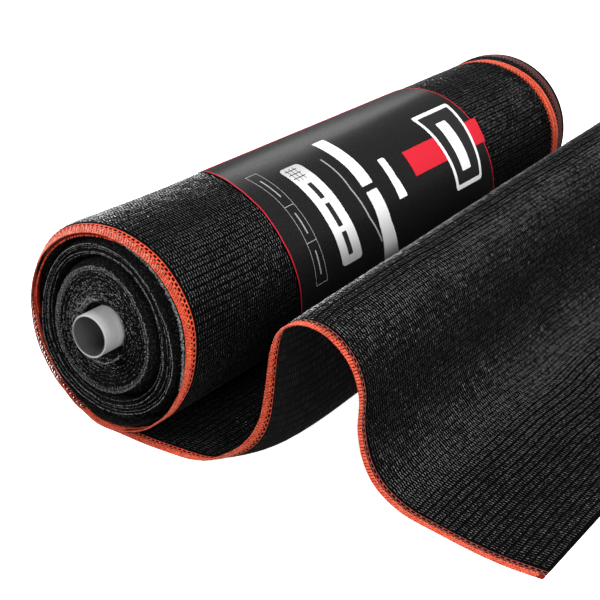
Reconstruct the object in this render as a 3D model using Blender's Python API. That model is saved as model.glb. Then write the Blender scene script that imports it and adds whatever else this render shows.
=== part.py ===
"""A roll of knitted debris netting on a plastic core, with its loose end drawn out over the floor.

The roll lies along Y. Its near end is at low Y and its loose end runs out towards +X: from the bottom
of the roll along the floor, up into a hump, and down to the floor again. The origin is on the floor,
under the roll's axis and half-way along the netting's width. All sizes are in metres.
"""
import math
from collections import namedtuple

import bmesh
import bpy

MM = 0.001

# Netting
NET_WIDTH = 0.99
NET_T = 1.6 * MM
GAP = 0.3 * MM
LAYER = NET_T + GAP
BAND_WIDTH = 15.0 * MM

# Roll
BODY_R = 126.5 * MM
BODY_AXIS_Z = 136.8 * MM
RIM_R = 121.8 * MM
RIM_AXIS_Z = 134.3 * MM
RIM_TAPER = 30.0 * MM
BODY_SAG = 0.87
BULGE = 5.0 * MM
BULGE_ANGLE = 139.0
BULGE_HALF_WIDTH = 52.0
BULGE_LENGTH = 190.0 * MM
OVAL = 0.05
STEP_ANGLE = -97.0
STATIONS = 72
TUCK = 0.1
TUCK_LIFT = 0.1 * MM
FAR_REACH = 48.0 * MM
SECOND_BAND_REACH = 10.0 * MM
SECOND_BAND_IN = 1.0 * LAYER
INNER_BAND_START = 19.0 * MM
INNER_BAND_WIDTH = 18.0 * MM
INNER_BAND_IN = 3.0 * LAYER
FAR_SHIFT_X = 1.0 * MM
FAR_SHIFT_Z = 8.0 * MM
FAR_SAG = 0.15

# Core tube, slightly oval
CORE_RX = 26.0 * MM
CORE_RZ = 27.2 * MM
CORE_WALL = 3.0 * MM
CORE_CHAMFER = 0.6 * MM
CORE_AXIS_Z = 135.6 * MM
CORE_PROUD = 27.5 * MM
CORE_LENGTH = 1.072
CORE_SIDES = 48
BORE_GAP = 0.5 * MM

# Label
LABEL_T = 1.0 * MM
LABEL_STEPS = 32

# Loose end
TAIL_END_X = 576.0 * MM
EDGE_CURL = 45.0 * MM
HUMP_DRIFT = 38.0 * MM
SPLINE_STEPS = 3
LEAVING_ANGLES = (-6.0, 0.0, 3.5, 7.0)
TAIL_LEAD = 0.07

NEAR_Y = -NET_WIDTH / 2.0

# How far the slack lower side of the roll stands out from a circle, by angle from +X (degrees, mm)
Slack = namedtuple("Slack", "angle extra")
SLACK = [
    Slack(-180.0, -2.4), Slack(-150.0, -0.2), Slack(-128.0, 2.2), Slack(-113.0, 6.4), Slack(-97.0, 12.0),
    Slack(-84.0, 12.4), Slack(-69.0, 10.4), Slack(-51.0, 6.2), Slack(-30.0, 2.6), Slack(-8.0, 1.6),
    Slack(20.0, 4.2), Slack(45.0, 3.2), Slack(76.0, 0.2), Slack(126.0, -0.6),
]

# The label's two edges round the roll, as distances from the near rim, by angle from +X (degrees, mm)
LabelRow = namedtuple("LabelRow", "angle near far")
LABEL_ROWS = [
    LabelRow(118.0, 262.0, 762.0), LabelRow(104.0, 243.0, 759.0), LabelRow(90.0, 228.0, 757.0),
    LabelRow(75.0, 218.0, 756.0), LabelRow(60.0, 212.0, 752.0), LabelRow(45.0, 210.0, 749.0),
    LabelRow(30.0, 210.5, 749.0), LabelRow(15.0, 215.5, 752.0), LabelRow(0.0, 224.5, 761.0),
    LabelRow(-15.0, 234.0, 774.0), LabelRow(-30.0, 243.0, 785.0), LabelRow(-42.0, 250.0, 792.0),
]

# The loose end's underside, from the roll to its cut end: at the netting's edges, and well inside them.
# drift says how much of the hump's slant across the width a point takes. Sizes in mm.
# stray is how far the near edge strays outwards there.
Fold = namedtuple("Fold", "x_edge z_edge x_inside z_inside drift stray")
FOLDS = [
    Fold(12, 0, 12, 0, 0, 0.5), Fold(60, 0, 60, 0, 0, 5), Fold(112, 0, 120, 0, 0, 5.5),
    Fold(138, 3, 162, 0, 0.2, 5), Fold(160, 11, 190, 1.5, 0.5, 4), Fold(180, 23, 208, 6, 0.7, 2),
    Fold(199, 39, 220, 15, 0.8, 0),
    Fold(214, 58, 230, 30, 0.9, 0), Fold(225, 81, 236, 52, 1, 0), Fold(231, 106, 239, 84, 1, 0),
    Fold(236, 138, 240, 125, 1, 0), Fold(240, 164, 242, 158, 1, 0), Fold(247, 186, 246, 184, 1, 0),
    Fold(258, 199, 256, 199, 1, 0), Fold(275, 207, 272, 208, 1, 0), Fold(293, 208, 291, 209, 1, 0),
    Fold(311, 203, 310, 204, 1, 0), Fold(330, 190, 329, 191, 1, 0), Fold(345, 170, 344, 170, 1, 0),
    Fold(353, 141, 352, 141, 1, 0), Fold(352, 102, 353, 103, 1, 0), Fold(360, 66, 361, 67, 0.9, 0),
    Fold(378, 39, 380, 39, 0.8, 0), Fold(410, 20, 412, 18, 0.6, 0), Fold(456, 10, 455, 6, 0.3, 0),
    Fold(500, 3, 492, 1, 0.1, 1), Fold(540, 0, 524, 0, 0, 2),
]
STRAY_DEPTH = 120.0 * MM

# Rows across the loose end between its bindings, as distances in mm from the near edge
TAIL_ROWS = [30, 55, 90, 150, 240, 340, 440, 540, 640, 740, 840, 900, 935, 960]

# The near end's face, from the bore outwards: share of the roll's radius, and depth behind the rim (mm)
Ring = namedtuple("Ring", "share depth")
NEAR_FACE = [
    Ring(0.36, 2.0), Ring(0.52, 3.0), Ring(0.592, 6.5), Ring(0.612, 32.0), Ring(0.690, 32.0),
    Ring(0.700, 10.0), Ring(0.755, 9.0), Ring(0.800, 7.0), Ring(0.812, 28.0), Ring(0.893, 28.0),
    Ring(0.899, 11.0), Ring(0.922, 11.0), Ring(0.929, 27.0), Ring(0.958, 27.0),
]
LIP_SHARE = 0.964
# The far end's face, from the bore outwards, with depth before the innermost turns' far edge (mm)
FAR_FACE = [
    Ring(0.40, 4.0), Ring(0.62, 1.5), Ring(0.66, 14.0), Ring(0.74, 14.0), Ring(0.77, 6.0), Ring(0.90, 6.0),
]

# Where the bore stands off the core: angle, half-width in degrees, and depth in mm
Slot = namedtuple("Slot", "angle half_width depth")
BORE_SLOTS = [Slot(-48.0, 26.0, 6.0), Slot(122.0, 24.0, 3.0)]
BORE_SLOT_LENGTH = 60.0 * MM


def clear_scene():
    for thing in list(bpy.data.objects):
        bpy.data.objects.remove(thing, do_unlink=True)


def material(name, colour, roughness):
    made = bpy.data.materials.new(name)
    made.use_nodes = True
    shader = made.node_tree.nodes["Principled BSDF"]
    shader.inputs["Base Color"].default_value = (*colour, 1.0)
    shader.inputs["Roughness"].default_value = roughness
    shader.inputs["Metallic"].default_value = 0.0
    return made


def add_object(name, bm, surface, smooth_angle=35.0):
    bmesh.ops.recalc_face_normals(bm, faces=bm.faces)
    mesh = bpy.data.meshes.new(name)
    bm.to_mesh(mesh)
    bm.free()
    mesh.materials.append(surface)
    mesh.shade_smooth()
    mesh.set_sharp_from_angle(angle=math.radians(smooth_angle))
    thing = bpy.data.objects.new(name, mesh)
    bpy.context.scene.collection.objects.link(thing)
    return thing


def smoothstep(t):
    t = min(max(t, 0.0), 1.0)
    return t * t * (3.0 - 2.0 * t)


def mix(a, b, t):
    return a + (b - a) * t


def slack_at(angle):
    """The slack table read at any angle, eased between its rows."""
    angle = (angle + 180.0) % 360.0 - 180.0
    rows = SLACK + [Slack(SLACK[0].angle + 360.0, SLACK[0].extra)]
    for low, high in zip(rows, rows[1:]):
        if low.angle <= angle <= high.angle:
            along = smoothstep((angle - low.angle) / (high.angle - low.angle))
            return mix(low.extra, high.extra, along) * MM
    return rows[0].extra * MM


def far_share(y):
    """How far the crowded turns beyond the far edge have moved off the roll's axis, from 0 to 1."""
    start = NET_WIDTH + SECOND_BAND_REACH + GAP
    return smoothstep((y - start) / (NET_WIDTH + INNER_BAND_START - GAP - start))


def roll_size(angle, y):
    """The roll at an angle, at a distance y from the near rim: (radius, axis x, axis z)."""
    taper = 1.0 - (1.0 - min(y / RIM_TAPER, 1.0)) ** 2
    far = far_share(y)
    sag = mix(mix(1.0, BODY_SAG, taper), FAR_SAG, far)
    off = abs((angle - BULGE_ANGLE + 180.0) % 360.0 - 180.0) / BULGE_HALF_WIDTH
    swell = smoothstep(y / BAND_WIDTH) * (1.0 - smoothstep((y - BAND_WIDTH) / BULGE_LENGTH))
    radius = mix(RIM_R, BODY_R, taper) + slack_at(angle) * sag + BULGE * (1.0 - smoothstep(off)) * swell
    return radius, FAR_SHIFT_X * far, mix(RIM_AXIS_Z, BODY_AXIS_Z, taper) + FAR_SHIFT_Z * far


def roll_point(angle, turn, y, inset=0.0):
    """A point (x, z) of the wound netting's outer side.

    turn runs from 0, where the outermost turn dives under itself, to 1, one turn further out, where it
    leaves the roll as the loose end.
    """
    radius, axis_x, axis_z = roll_size(angle, y)
    radius -= LAYER * (1.0 - turn) + inset
    x = axis_x + radius * math.cos(math.radians(angle))
    z = axis_z + radius * math.sin(math.radians(angle))
    floor = 0.0 if turn > 0.5 else LAYER + TUCK_LIFT
    return x, max(z, floor + inset)


def face_point(share, angle, y):
    """A point (x, z) of an end face: a share of the roll's outline, slightly oval towards the core."""
    edge, axis_x, axis_z = roll_size(angle, y)
    slack = slack_at(angle) * (1.0 - share ** 2)
    radius = share * (edge - LAYER - slack)
    radius -= OVAL * math.cos(math.radians(2.0 * angle)) * share * BODY_R * (1.0 - share ** 8)
    x = mix(0.0, axis_x, share) + radius * math.cos(math.radians(angle))
    z = mix(CORE_AXIS_Z, axis_z, share) + radius * math.sin(math.radians(angle))
    return x, max(z, LAYER + (1.0 - share) * BODY_R)


def bore_point(angle, y):
    """A point (x, z) of the hole that the core sits in, which stands off it in two places near the rim."""
    stand_off = BORE_GAP
    for slot in BORE_SLOTS:
        away = abs((angle - slot.angle + 180.0) % 360.0 - 180.0) / slot.half_width
        fade = 1.0 - smoothstep(y / BORE_SLOT_LENGTH)
        stand_off += slot.depth * MM * (1.0 - smoothstep(away)) * fade
    turn = math.radians(angle)
    return (CORE_RX + stand_off) * math.cos(turn), CORE_AXIS_Z + (CORE_RZ + stand_off) * math.sin(turn)


def roll_profile(angle, turn):
    """One slice of the wound roll at an angle: (x, distance from the near rim, z), from the bore around."""
    cloth_start = BAND_WIDTH + GAP
    cloth_end = NET_WIDTH - BAND_WIDTH - GAP
    second_band_end = NET_WIDTH + SECOND_BAND_REACH + GAP
    roll_end = NET_WIDTH + FAR_REACH
    inner_band_start = NET_WIDTH + INNER_BAND_START - GAP
    face_start = NEAR_FACE[0].depth * MM
    far_start = roll_end - FAR_FACE[0].depth * MM
    points = []

    def add(xz, y):
        points.append((xz[0], y, xz[1]))

    for y in (far_start, BORE_SLOT_LENGTH, face_start):
        add(bore_point(angle, y), y)
    for ring in NEAR_FACE:
        add(face_point(ring.share, angle, ring.depth * MM), ring.depth * MM)
    add(face_point(LIP_SHARE, angle, cloth_start), cloth_start)
    first_outer = len(points)
    for y in (cloth_start, RIM_TAPER, BULGE_LENGTH / 2.0, BAND_WIDTH + BULGE_LENGTH, cloth_end):
        add(roll_point(angle, turn, y), y)
    last_outer = len(points) - 1
    second_groove = SECOND_BAND_IN + LAYER + TUCK_LIFT
    inner_groove = INNER_BAND_IN + LAYER
    for inset, y in (
        (second_groove, cloth_end), (second_groove, second_band_end), (INNER_BAND_IN, second_band_end),
        (INNER_BAND_IN, inner_band_start), (inner_groove, inner_band_start), (inner_groove, roll_end),
    ):
        add(roll_point(angle, 1.0, y, inset), y)
    for ring in reversed(FAR_FACE):
        y = roll_end - ring.depth * MM
        add(face_point(ring.share, angle, y), y)
    return points, first_outer, last_outer


def make_wound_roll(surface):
    """One solid of all the turns, with the step where the outermost one leaves it."""
    bm = bmesh.new()
    slices = []
    for i in range(STATIONS + 1):
        turn = i / STATIONS
        points, first, last = roll_profile(STEP_ANGLE + 360.0 * turn, turn)
        slices.append(points)
    count = len(slices[0])
    verts = [[bm.verts.new((x, y + NEAR_Y, z)) for x, y, z in points] for points in slices[:-1]]
    final = list(verts[0])
    for j in range(first, last + 1):
        x, y, z = slices[-1][j]
        final[j] = bm.verts.new((x, y + NEAR_Y, z))
    verts.append(final)
    for i in range(STATIONS):
        here, ahead = verts[i], verts[i + 1]
        for j in range(count):
            k = (j + 1) % count
            corners = [here[j], here[k], ahead[k], ahead[j]]
            if i == STATIONS - 1 and j == first - 1:
                corners = [here[j], here[k], ahead[k], verts[0][k], ahead[j]]
            if i == STATIONS - 1 and j == last:
                corners = [here[j], here[k], ahead[k], verts[0][j], ahead[j]]
            bm.faces.new(corners)
    for j in range(first, last):
        bm.faces.new([verts[0][j], final[j], final[j + 1], verts[0][j + 1]])
    return add_object("wound_roll", bm, surface)


def tail_controls(y):
    """The loose end's underside at a distance y from the near edge, as points (x, z, y) for a spline."""
    controls = [(*roll_point(STEP_ANGLE + past, 1.0 + past / 360.0, y), y) for past in LEAVING_ANGLES]
    inside = 1.0 - math.exp(-min(y, NET_WIDTH - y) / EDGE_CURL)
    slant = y / NET_WIDTH
    for fold in FOLDS:
        x = mix(fold.x_edge, fold.x_inside, inside) * MM - HUMP_DRIFT * slant * fold.drift
        z = mix(fold.z_edge, fold.z_inside, inside) * MM
        controls.append((x, z, y - fold.stray * MM * math.exp(-y / STRAY_DEPTH)))
    controls.append((TAIL_END_X, 0.0, controls[-1][2]))
    controls.append((2.0 * TAIL_END_X - controls[-2][0], 0.0, controls[-1][2]))
    return controls


def spline_point(a, b, c, d, t):
    """A Catmull-Rom point between b and c, with its direction in x and z."""
    point = []
    slope = []
    for k in range(3):
        linear = c[k] - a[k]
        square = 2.0 * a[k] - 5.0 * b[k] + 4.0 * c[k] - d[k]
        cube = 3.0 * (b[k] - c[k]) + d[k] - a[k]
        point.append(0.5 * (2.0 * b[k] + linear * t + square * t * t + cube * t ** 3))
        slope.append(0.5 * (linear + 2.0 * square * t + 3.0 * cube * t * t))
    return (point[0], max(point[1], 0.0), point[2]), slope


def tail_line(y, lead=0.0):
    """Pairs of points (x, y, z) below and above the loose end, from the roll to its cut end."""
    controls = tail_controls(y)
    pairs = []
    for i in range(1, len(controls) - 2):
        last = i == len(controls) - 3
        for k in range(SPLINE_STEPS + (1 if last else 0)):
            t = lead if i == 1 and k == 0 else k / SPLINE_STEPS
            (x, z, along), (dx, dz, _) = spline_point(*controls[i - 1:i + 3], t)
            if z == 0.0:
                dx, dz = 1.0, 0.0
            rise = NET_T / math.hypot(dx, dz)
            pairs.append(((x, along, z), (x - dz * rise, along, z + dx * rise)))
    return pairs


def layer_pair(angle, turn, y, inset=0.0):
    """Points (x, y, z) on the outer and the inner side of one layer of the wound netting."""
    pair = []
    for depth in (inset, inset + NET_T):
        x, z = roll_point(angle, turn, y, depth)
        pair.append((x, y, z))
    return pair


def ring_line(y, first_turn):
    """The outermost layer from an earlier turn up to where it leaves the roll."""
    count = round((1.0 - first_turn) * STATIONS)
    turns = [mix(first_turn, 1.0, i / count) for i in range(count)]
    return [layer_pair(STEP_ANGLE + 360.0 * turn, turn, y) for turn in turns]


def strip(name, rows, surface, closed=False):
    """A bent sheet from rows of (outer, inner) point pairs."""
    bm = bmesh.new()
    grids = []
    for side in (0, 1):
        sides = [[pair[side] for pair in row] for row in rows]
        grids.append([[bm.verts.new((x, y + NEAR_Y, z)) for x, y, z in row] for row in sides])
    count = len(rows[0])
    spans = range(count if closed else count - 1)
    for side in (0, 1):
        for low, high in zip(grids[side], grids[side][1:]):
            for i in spans:
                k = (i + 1) % count
                bm.faces.new([low[i], low[k], high[k], high[i]])
    for row in (0, -1):
        outer, inner = grids[0][row], grids[1][row]
        for i in spans:
            k = (i + 1) % count
            bm.faces.new([outer[i], outer[k], inner[k], inner[i]])
    if not closed:
        for end in (0, -1):
            for r in range(len(rows) - 1):
                outer, inner = grids[0][r:r + 2], grids[1][r:r + 2]
                bm.faces.new([outer[0][end], outer[1][end], inner[1][end], inner[0][end]])
    return add_object(name, bm, surface)


def make_net_tail(surface):
    """The loose end's netting between its two bindings."""
    distances = [BAND_WIDTH + GAP] + [row * MM for row in TAIL_ROWS] + [NET_WIDTH - BAND_WIDTH - GAP]
    return strip("net_tail", [tail_line(y, TAIL_LEAD) for y in distances], surface)


def make_binding(name, start, tuck, surface):
    """A knitted binding along one edge: round the roll, and out along the loose end."""
    rows = []
    for y in (start, start + BAND_WIDTH):
        rows.append(ring_line(y, -tuck) + tail_line(y))
    return strip(name, rows, surface)


def make_closed_band(name, start, width, inset, surface):
    """The binding of a wound turn that stands out further at the far end, as a closed ring."""
    angles = [STEP_ANGLE + 360.0 * i / STATIONS for i in range(STATIONS)]
    rows = [[layer_pair(angle, 1.0, y, inset) for angle in angles] for y in (start, start + width)]
    return strip(name, rows, surface, closed=True)


def label_edges(angle):
    """The label's near and far edge at an angle, read between the rows of its table."""
    for high, low in zip(LABEL_ROWS, LABEL_ROWS[1:]):
        if low.angle <= angle <= high.angle:
            along = (high.angle - angle) / (high.angle - low.angle)
            return mix(high.near, low.near, along) * MM, mix(high.far, low.far, along) * MM
    return LABEL_ROWS[-1].near * MM, LABEL_ROWS[-1].far * MM


def make_label(surface):
    """The printed label, wrapped from the top of the roll down its open side."""
    rows = []
    bm = bmesh.new()
    for i in range(LABEL_STEPS + 1):
        angle = mix(LABEL_ROWS[0].angle, LABEL_ROWS[-1].angle, i / LABEL_STEPS)
        turn = (angle - STEP_ANGLE) / 360.0
        near, far = label_edges(angle)
        corners = []
        top = -GAP - LABEL_T
        for y, inset in ((near, -GAP), (far, -GAP), (far, top), (near, top)):
            x, z = roll_point(angle, turn, y, inset)
            corners.append(bm.verts.new((x, y + NEAR_Y, z)))
        rows.append(corners)
    for here, ahead in zip(rows, rows[1:]):
        for j in range(4):
            k = (j + 1) % 4
            bm.faces.new([here[j], here[k], ahead[k], ahead[j]])
    bm.faces.new(rows[0])
    bm.faces.new(list(reversed(rows[-1])))
    return add_object("label", bm, surface)


def make_core(surface):
    """The plastic tube that the netting is wound on."""
    start = NEAR_Y - CORE_PROUD
    end = start + CORE_LENGTH
    outline = [
        (0.0, start + CORE_CHAMFER), (CORE_CHAMFER, start), (CORE_WALL - CORE_CHAMFER, start),
        (CORE_WALL, start + CORE_CHAMFER), (CORE_WALL, end - CORE_CHAMFER), (CORE_WALL - CORE_CHAMFER, end),
        (CORE_CHAMFER, end), (0.0, end - CORE_CHAMFER),
    ]
    bm = bmesh.new()
    loops = []
    for inset, y in outline:
        loop = []
        for i in range(CORE_SIDES):
            turn = 2.0 * math.pi * i / CORE_SIDES
            x = (CORE_RX - inset) * math.cos(turn)
            loop.append(bm.verts.new((x, y, CORE_AXIS_Z + (CORE_RZ - inset) * math.sin(turn))))
        loops.append(loop)
    for here, ahead in zip(loops, loops[1:] + loops[:1]):
        for i in range(CORE_SIDES):
            k = (i + 1) % CORE_SIDES
            bm.faces.new([here[i], here[k], ahead[k], ahead[i]])
    return add_object("core_tube", bm, surface)


def main():
    clear_scene()
    black_net = material("black_netting", (0.012, 0.012, 0.013), 0.75)
    orange_knit = material("orange_binding", (0.80, 0.10, 0.03), 0.7)
    grey_plastic = material("grey_core_plastic", (0.40, 0.40, 0.40), 0.45)
    label_film = material("label_film", (0.02, 0.02, 0.022), 0.3)
    make_core(grey_plastic)
    make_wound_roll(black_net)
    make_net_tail(black_net)
    make_binding("binding_near", 0.0, TUCK, orange_knit)
    make_binding("binding_far", NET_WIDTH - BAND_WIDTH, 0.0, orange_knit)
    second_start = NET_WIDTH + GAP
    second_width = SECOND_BAND_REACH - GAP
    make_closed_band("binding_far_second", second_start, second_width, SECOND_BAND_IN, orange_knit)
    inner_start = NET_WIDTH + INNER_BAND_START
    make_closed_band("binding_far_inner", inner_start, INNER_BAND_WIDTH, INNER_BAND_IN, orange_knit)
    make_label(label_film)


main()
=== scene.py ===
"""Looks of the roll of knitted debris netting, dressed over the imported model.

Distances across the netting run from its near edge, distances along it run from where the loose end
leaves the roll: negative on the roll's outermost turn, positive on the loose end. All are in metres.
"""
import math

import bmesh
import bpy
import numpy as np
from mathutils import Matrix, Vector


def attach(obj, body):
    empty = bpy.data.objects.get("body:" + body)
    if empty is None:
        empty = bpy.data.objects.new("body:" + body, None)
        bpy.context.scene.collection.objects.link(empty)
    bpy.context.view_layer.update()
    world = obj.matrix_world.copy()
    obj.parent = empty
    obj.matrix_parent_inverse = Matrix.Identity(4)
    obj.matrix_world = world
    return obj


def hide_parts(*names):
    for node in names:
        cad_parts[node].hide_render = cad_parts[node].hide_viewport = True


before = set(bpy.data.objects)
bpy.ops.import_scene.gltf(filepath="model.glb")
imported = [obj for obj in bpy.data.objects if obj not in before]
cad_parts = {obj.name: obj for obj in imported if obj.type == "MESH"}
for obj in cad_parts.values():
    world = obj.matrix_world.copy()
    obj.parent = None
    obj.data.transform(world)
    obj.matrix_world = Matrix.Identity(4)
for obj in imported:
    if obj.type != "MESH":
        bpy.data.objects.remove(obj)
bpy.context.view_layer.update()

MM = 0.001
NEVER = 1e9
DEGREES = 57.3      # of a radian, as the fibres and the printing count them
FRONT = (0.0, -1.0, 0.0)

# The same sizes as in the part's source
NET_WIDTH = 0.99
NET_T = 1.6 * MM
GAP = 0.3 * MM
LAYER = NET_T + GAP
BAND_WIDTH = 15.0 * MM
BODY_R = 126.5 * MM
BODY_AXIS_Z = 136.8 * MM
RIM_R = 121.8 * MM
RIM_AXIS_Z = 134.3 * MM
RIM_TAPER = 30.0 * MM
BODY_SAG = 0.87
BULGE = 5.0 * MM
BULGE_ANGLE = 139.0
BULGE_HALF_WIDTH = 52.0
BULGE_LENGTH = 190.0 * MM
OVAL = 0.05
STEP_ANGLE = -97.0
TUCK = 0.1
TUCK_LIFT = 0.1 * MM
FAR_REACH = 48.0 * MM
SECOND_BAND_REACH = 10.0 * MM
SECOND_BAND_IN = 1.0 * LAYER
INNER_BAND_START = 19.0 * MM
INNER_BAND_WIDTH = 18.0 * MM
INNER_BAND_IN = 3.0 * LAYER
FAR_SHIFT_X = 1.0 * MM
FAR_SHIFT_Z = 8.0 * MM
FAR_SAG = 0.15
CORE_RX = 26.0 * MM
CORE_RZ = 27.2 * MM
CORE_AXIS_Z = 135.6 * MM
BORE_GAP = 0.5 * MM
BORE_SLOTS = [(-48.0, 26.0, 6.0), (122.0, 24.0, 3.0)]
BORE_SLOT_LENGTH = 60.0 * MM
LABEL_T = 1.0 * MM
LABEL_ROWS = np.array([
    (118.0, 262.0, 762.0), (104.0, 243.0, 759.0), (90.0, 228.0, 757.0), (75.0, 218.0, 756.0), (60.0, 212.0, 752.0),
    (45.0, 210.0, 749.0), (30.0, 210.5, 749.0), (15.0, 215.5, 752.0), (0.0, 224.5, 761.0), (-15.0, 234.0, 774.0),
    (-30.0, 243.0, 785.0), (-42.0, 250.0, 792.0),
])
LABEL_TOP_ANGLE, LABEL_BOTTOM_ANGLE = LABEL_ROWS[0, 0], LABEL_ROWS[-1, 0]
TAIL_END_X = 576.0 * MM
EDGE_CURL = 45.0 * MM
HUMP_DRIFT = 38.0 * MM
STRAY_DEPTH = 120.0 * MM
LEAVING_ANGLES = (-6.0, 0.0, 3.5, 7.0)
PATH_STEPS = 16         # points on each stretch of tail_path
NEAR_Y = -NET_WIDTH / 2.0
CLOTH_START, CLOTH_END = BAND_WIDTH + GAP, NET_WIDTH - BAND_WIDTH - GAP
CORE_MIDDLE = np.array([0.0, 0.0, CORE_AXIS_Z])
# How far the outer turns stand out from a circle: (angle, mm)
SLACK = np.array([
    (-180.0, -2.4), (-150.0, -0.2), (-128.0, 2.2), (-113.0, 6.4), (-97.0, 12.0), (-84.0, 12.4), (-69.0, 10.4),
    (-51.0, 6.2), (-30.0, 2.6), (-8.0, 1.6), (20.0, 4.2), (45.0, 3.2), (76.0, 0.2), (126.0, -0.6), (180.0, -2.4),
])
# The loose end in mm: x and z at the net's edges, x and z well inside them, share of the drift, stray
FOLDS = [
    (12, 0, 12, 0, 0, 0.5), (60, 0, 60, 0, 0, 5), (112, 0, 120, 0, 0, 5.5), (138, 3, 162, 0, 0.2, 5),
    (160, 11, 190, 1.5, 0.5, 4), (180, 23, 208, 6, 0.7, 2), (199, 39, 220, 15, 0.8, 0), (214, 58, 230, 30, 0.9, 0),
    (225, 81, 236, 52, 1, 0), (231, 106, 239, 84, 1, 0), (236, 138, 240, 125, 1, 0), (240, 164, 242, 158, 1, 0),
    (247, 186, 246, 184, 1, 0), (258, 199, 256, 199, 1, 0), (275, 207, 272, 208, 1, 0), (293, 208, 291, 209, 1, 0),
    (311, 203, 310, 204, 1, 0), (330, 190, 329, 191, 1, 0), (345, 170, 344, 170, 1, 0), (353, 141, 352, 141, 1, 0),
    (352, 102, 353, 103, 1, 0), (360, 66, 361, 67, 0.9, 0), (378, 39, 380, 39, 0.8, 0), (410, 20, 412, 18, 0.6, 0),
    (456, 10, 455, 6, 0.3, 0), (500, 3, 492, 1, 0.1, 1), (540, 0, 524, 0, 0, 2),
]

# The netting's ribs and stitches
RIB = 10.0 * MM
STITCH = 4.4 * MM
GROOVE = 0.7 * MM
BAR_ARCH = 0.24
BAR_ROUND = 2.2
BAR_TILT = 0.14
RING_LENGTH = 0.787

# ---------------------------------------------------------------- shapes

def smoothstep(t):
    t = np.clip(t, 0.0, 1.0)
    return t * t * (3.0 - 2.0 * t)


def mix(a, b, t):
    return a + (b - a) * t


def arrays(*values):
    """The values as arrays of one shape."""
    return np.broadcast_arrays(*(np.asarray(v, float) for v in values))


def unit(vectors):
    return vectors / np.linalg.norm(vectors, axis=-1, keepdims=True)


def turned(angle, middle=0.0):
    """An angle counted from a middle one, from -180 to 180 degrees."""
    return (np.asarray(angle, float) - middle + 180.0) % 360.0 - 180.0


def around(x, z, angle, radius_x, radius_z):
    """The x and z of points round an axis."""
    return x + radius_x * np.cos(np.radians(angle)), z + radius_z * np.sin(np.radians(angle))


def slack_at(angle):
    angle = turned(angle)
    k = np.clip(np.searchsorted(SLACK[:, 0], angle, side="right") - 1, 0, len(SLACK) - 2)
    along = smoothstep((angle - SLACK[k, 0]) / (SLACK[k + 1, 0] - SLACK[k, 0]))
    return mix(SLACK[k, 1], SLACK[k + 1, 1], along) * MM


def far_share(y):
    """How far a place has come from the rims' round form to the far end's, from 0 to 1."""
    start = NET_WIDTH + SECOND_BAND_REACH + GAP
    return smoothstep((y - start) / (NET_WIDTH + INNER_BAND_START - GAP - start))


def roll_size(angle, y):
    """The roll at an angle, at a distance y from the near rim: (radius, axis x, axis z)."""
    taper = 1.0 - (1.0 - np.minimum(y / RIM_TAPER, 1.0)) ** 2
    far = far_share(y)
    sag = mix(mix(1.0, BODY_SAG, taper), FAR_SAG, far)
    off = np.abs(turned(angle, BULGE_ANGLE)) / BULGE_HALF_WIDTH
    swell = smoothstep(y / BAND_WIDTH) * (1.0 - smoothstep((y - BAND_WIDTH) / BULGE_LENGTH))
    radius = mix(RIM_R, BODY_R, taper) + slack_at(angle) * sag + BULGE * (1.0 - smoothstep(off)) * swell
    return radius, FAR_SHIFT_X * far, mix(RIM_AXIS_Z, BODY_AXIS_Z, taper) + FAR_SHIFT_Z * far


def roll_xyz(angle, turn, y, inset=0.0):
    """Points on the outer side of the wound netting, inset inwards, as an array (..., 3)."""
    angle, turn, y, inset = arrays(angle, turn, y, inset)
    radius, axis_x, axis_z = roll_size(angle, y)
    radius = radius - LAYER * (1.0 - turn) - inset
    x, z = around(axis_x, axis_z, angle, radius, radius)
    floor = np.where(turn > 0.5, 0.0, LAYER + TUCK_LIFT)
    return np.stack([x, y + NEAR_Y, np.maximum(z, floor + inset)], axis=-1)


def face_xyz(share, angle, y):
    """Points of an end face: a share of the roll's outline, slightly oval towards the core."""
    share, angle, y = arrays(share, angle, y)
    edge, axis_x, axis_z = roll_size(angle, y)
    radius = share * (edge - LAYER - slack_at(angle) * (1.0 - share ** 2))
    radius = radius - OVAL * np.cos(np.radians(2.0 * angle)) * share * BODY_R * (1.0 - share ** 8)
    x, z = around(mix(0.0, axis_x, share), mix(CORE_AXIS_Z, axis_z, share), angle, radius, radius)
    return np.stack([x, y + NEAR_Y, np.maximum(z, LAYER + (1.0 - share) * BODY_R)], axis=-1)


def bore_xyz(angle, y):
    """Points of the hole that holds the core, with the gaps that show beside it."""
    angle, y = arrays(angle, y)
    off = np.full(angle.shape, BORE_GAP)
    for middle, half, depth in BORE_SLOTS:
        away = np.abs(turned(angle, middle)) / half
        off = off + depth * MM * (1.0 - smoothstep(away)) * (1.0 - smoothstep(y / BORE_SLOT_LENGTH))
    x, z = around(0.0, CORE_AXIS_Z, angle, CORE_RX + off, CORE_RZ + off)
    return np.stack([x, y + NEAR_Y, z], axis=-1)


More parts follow.
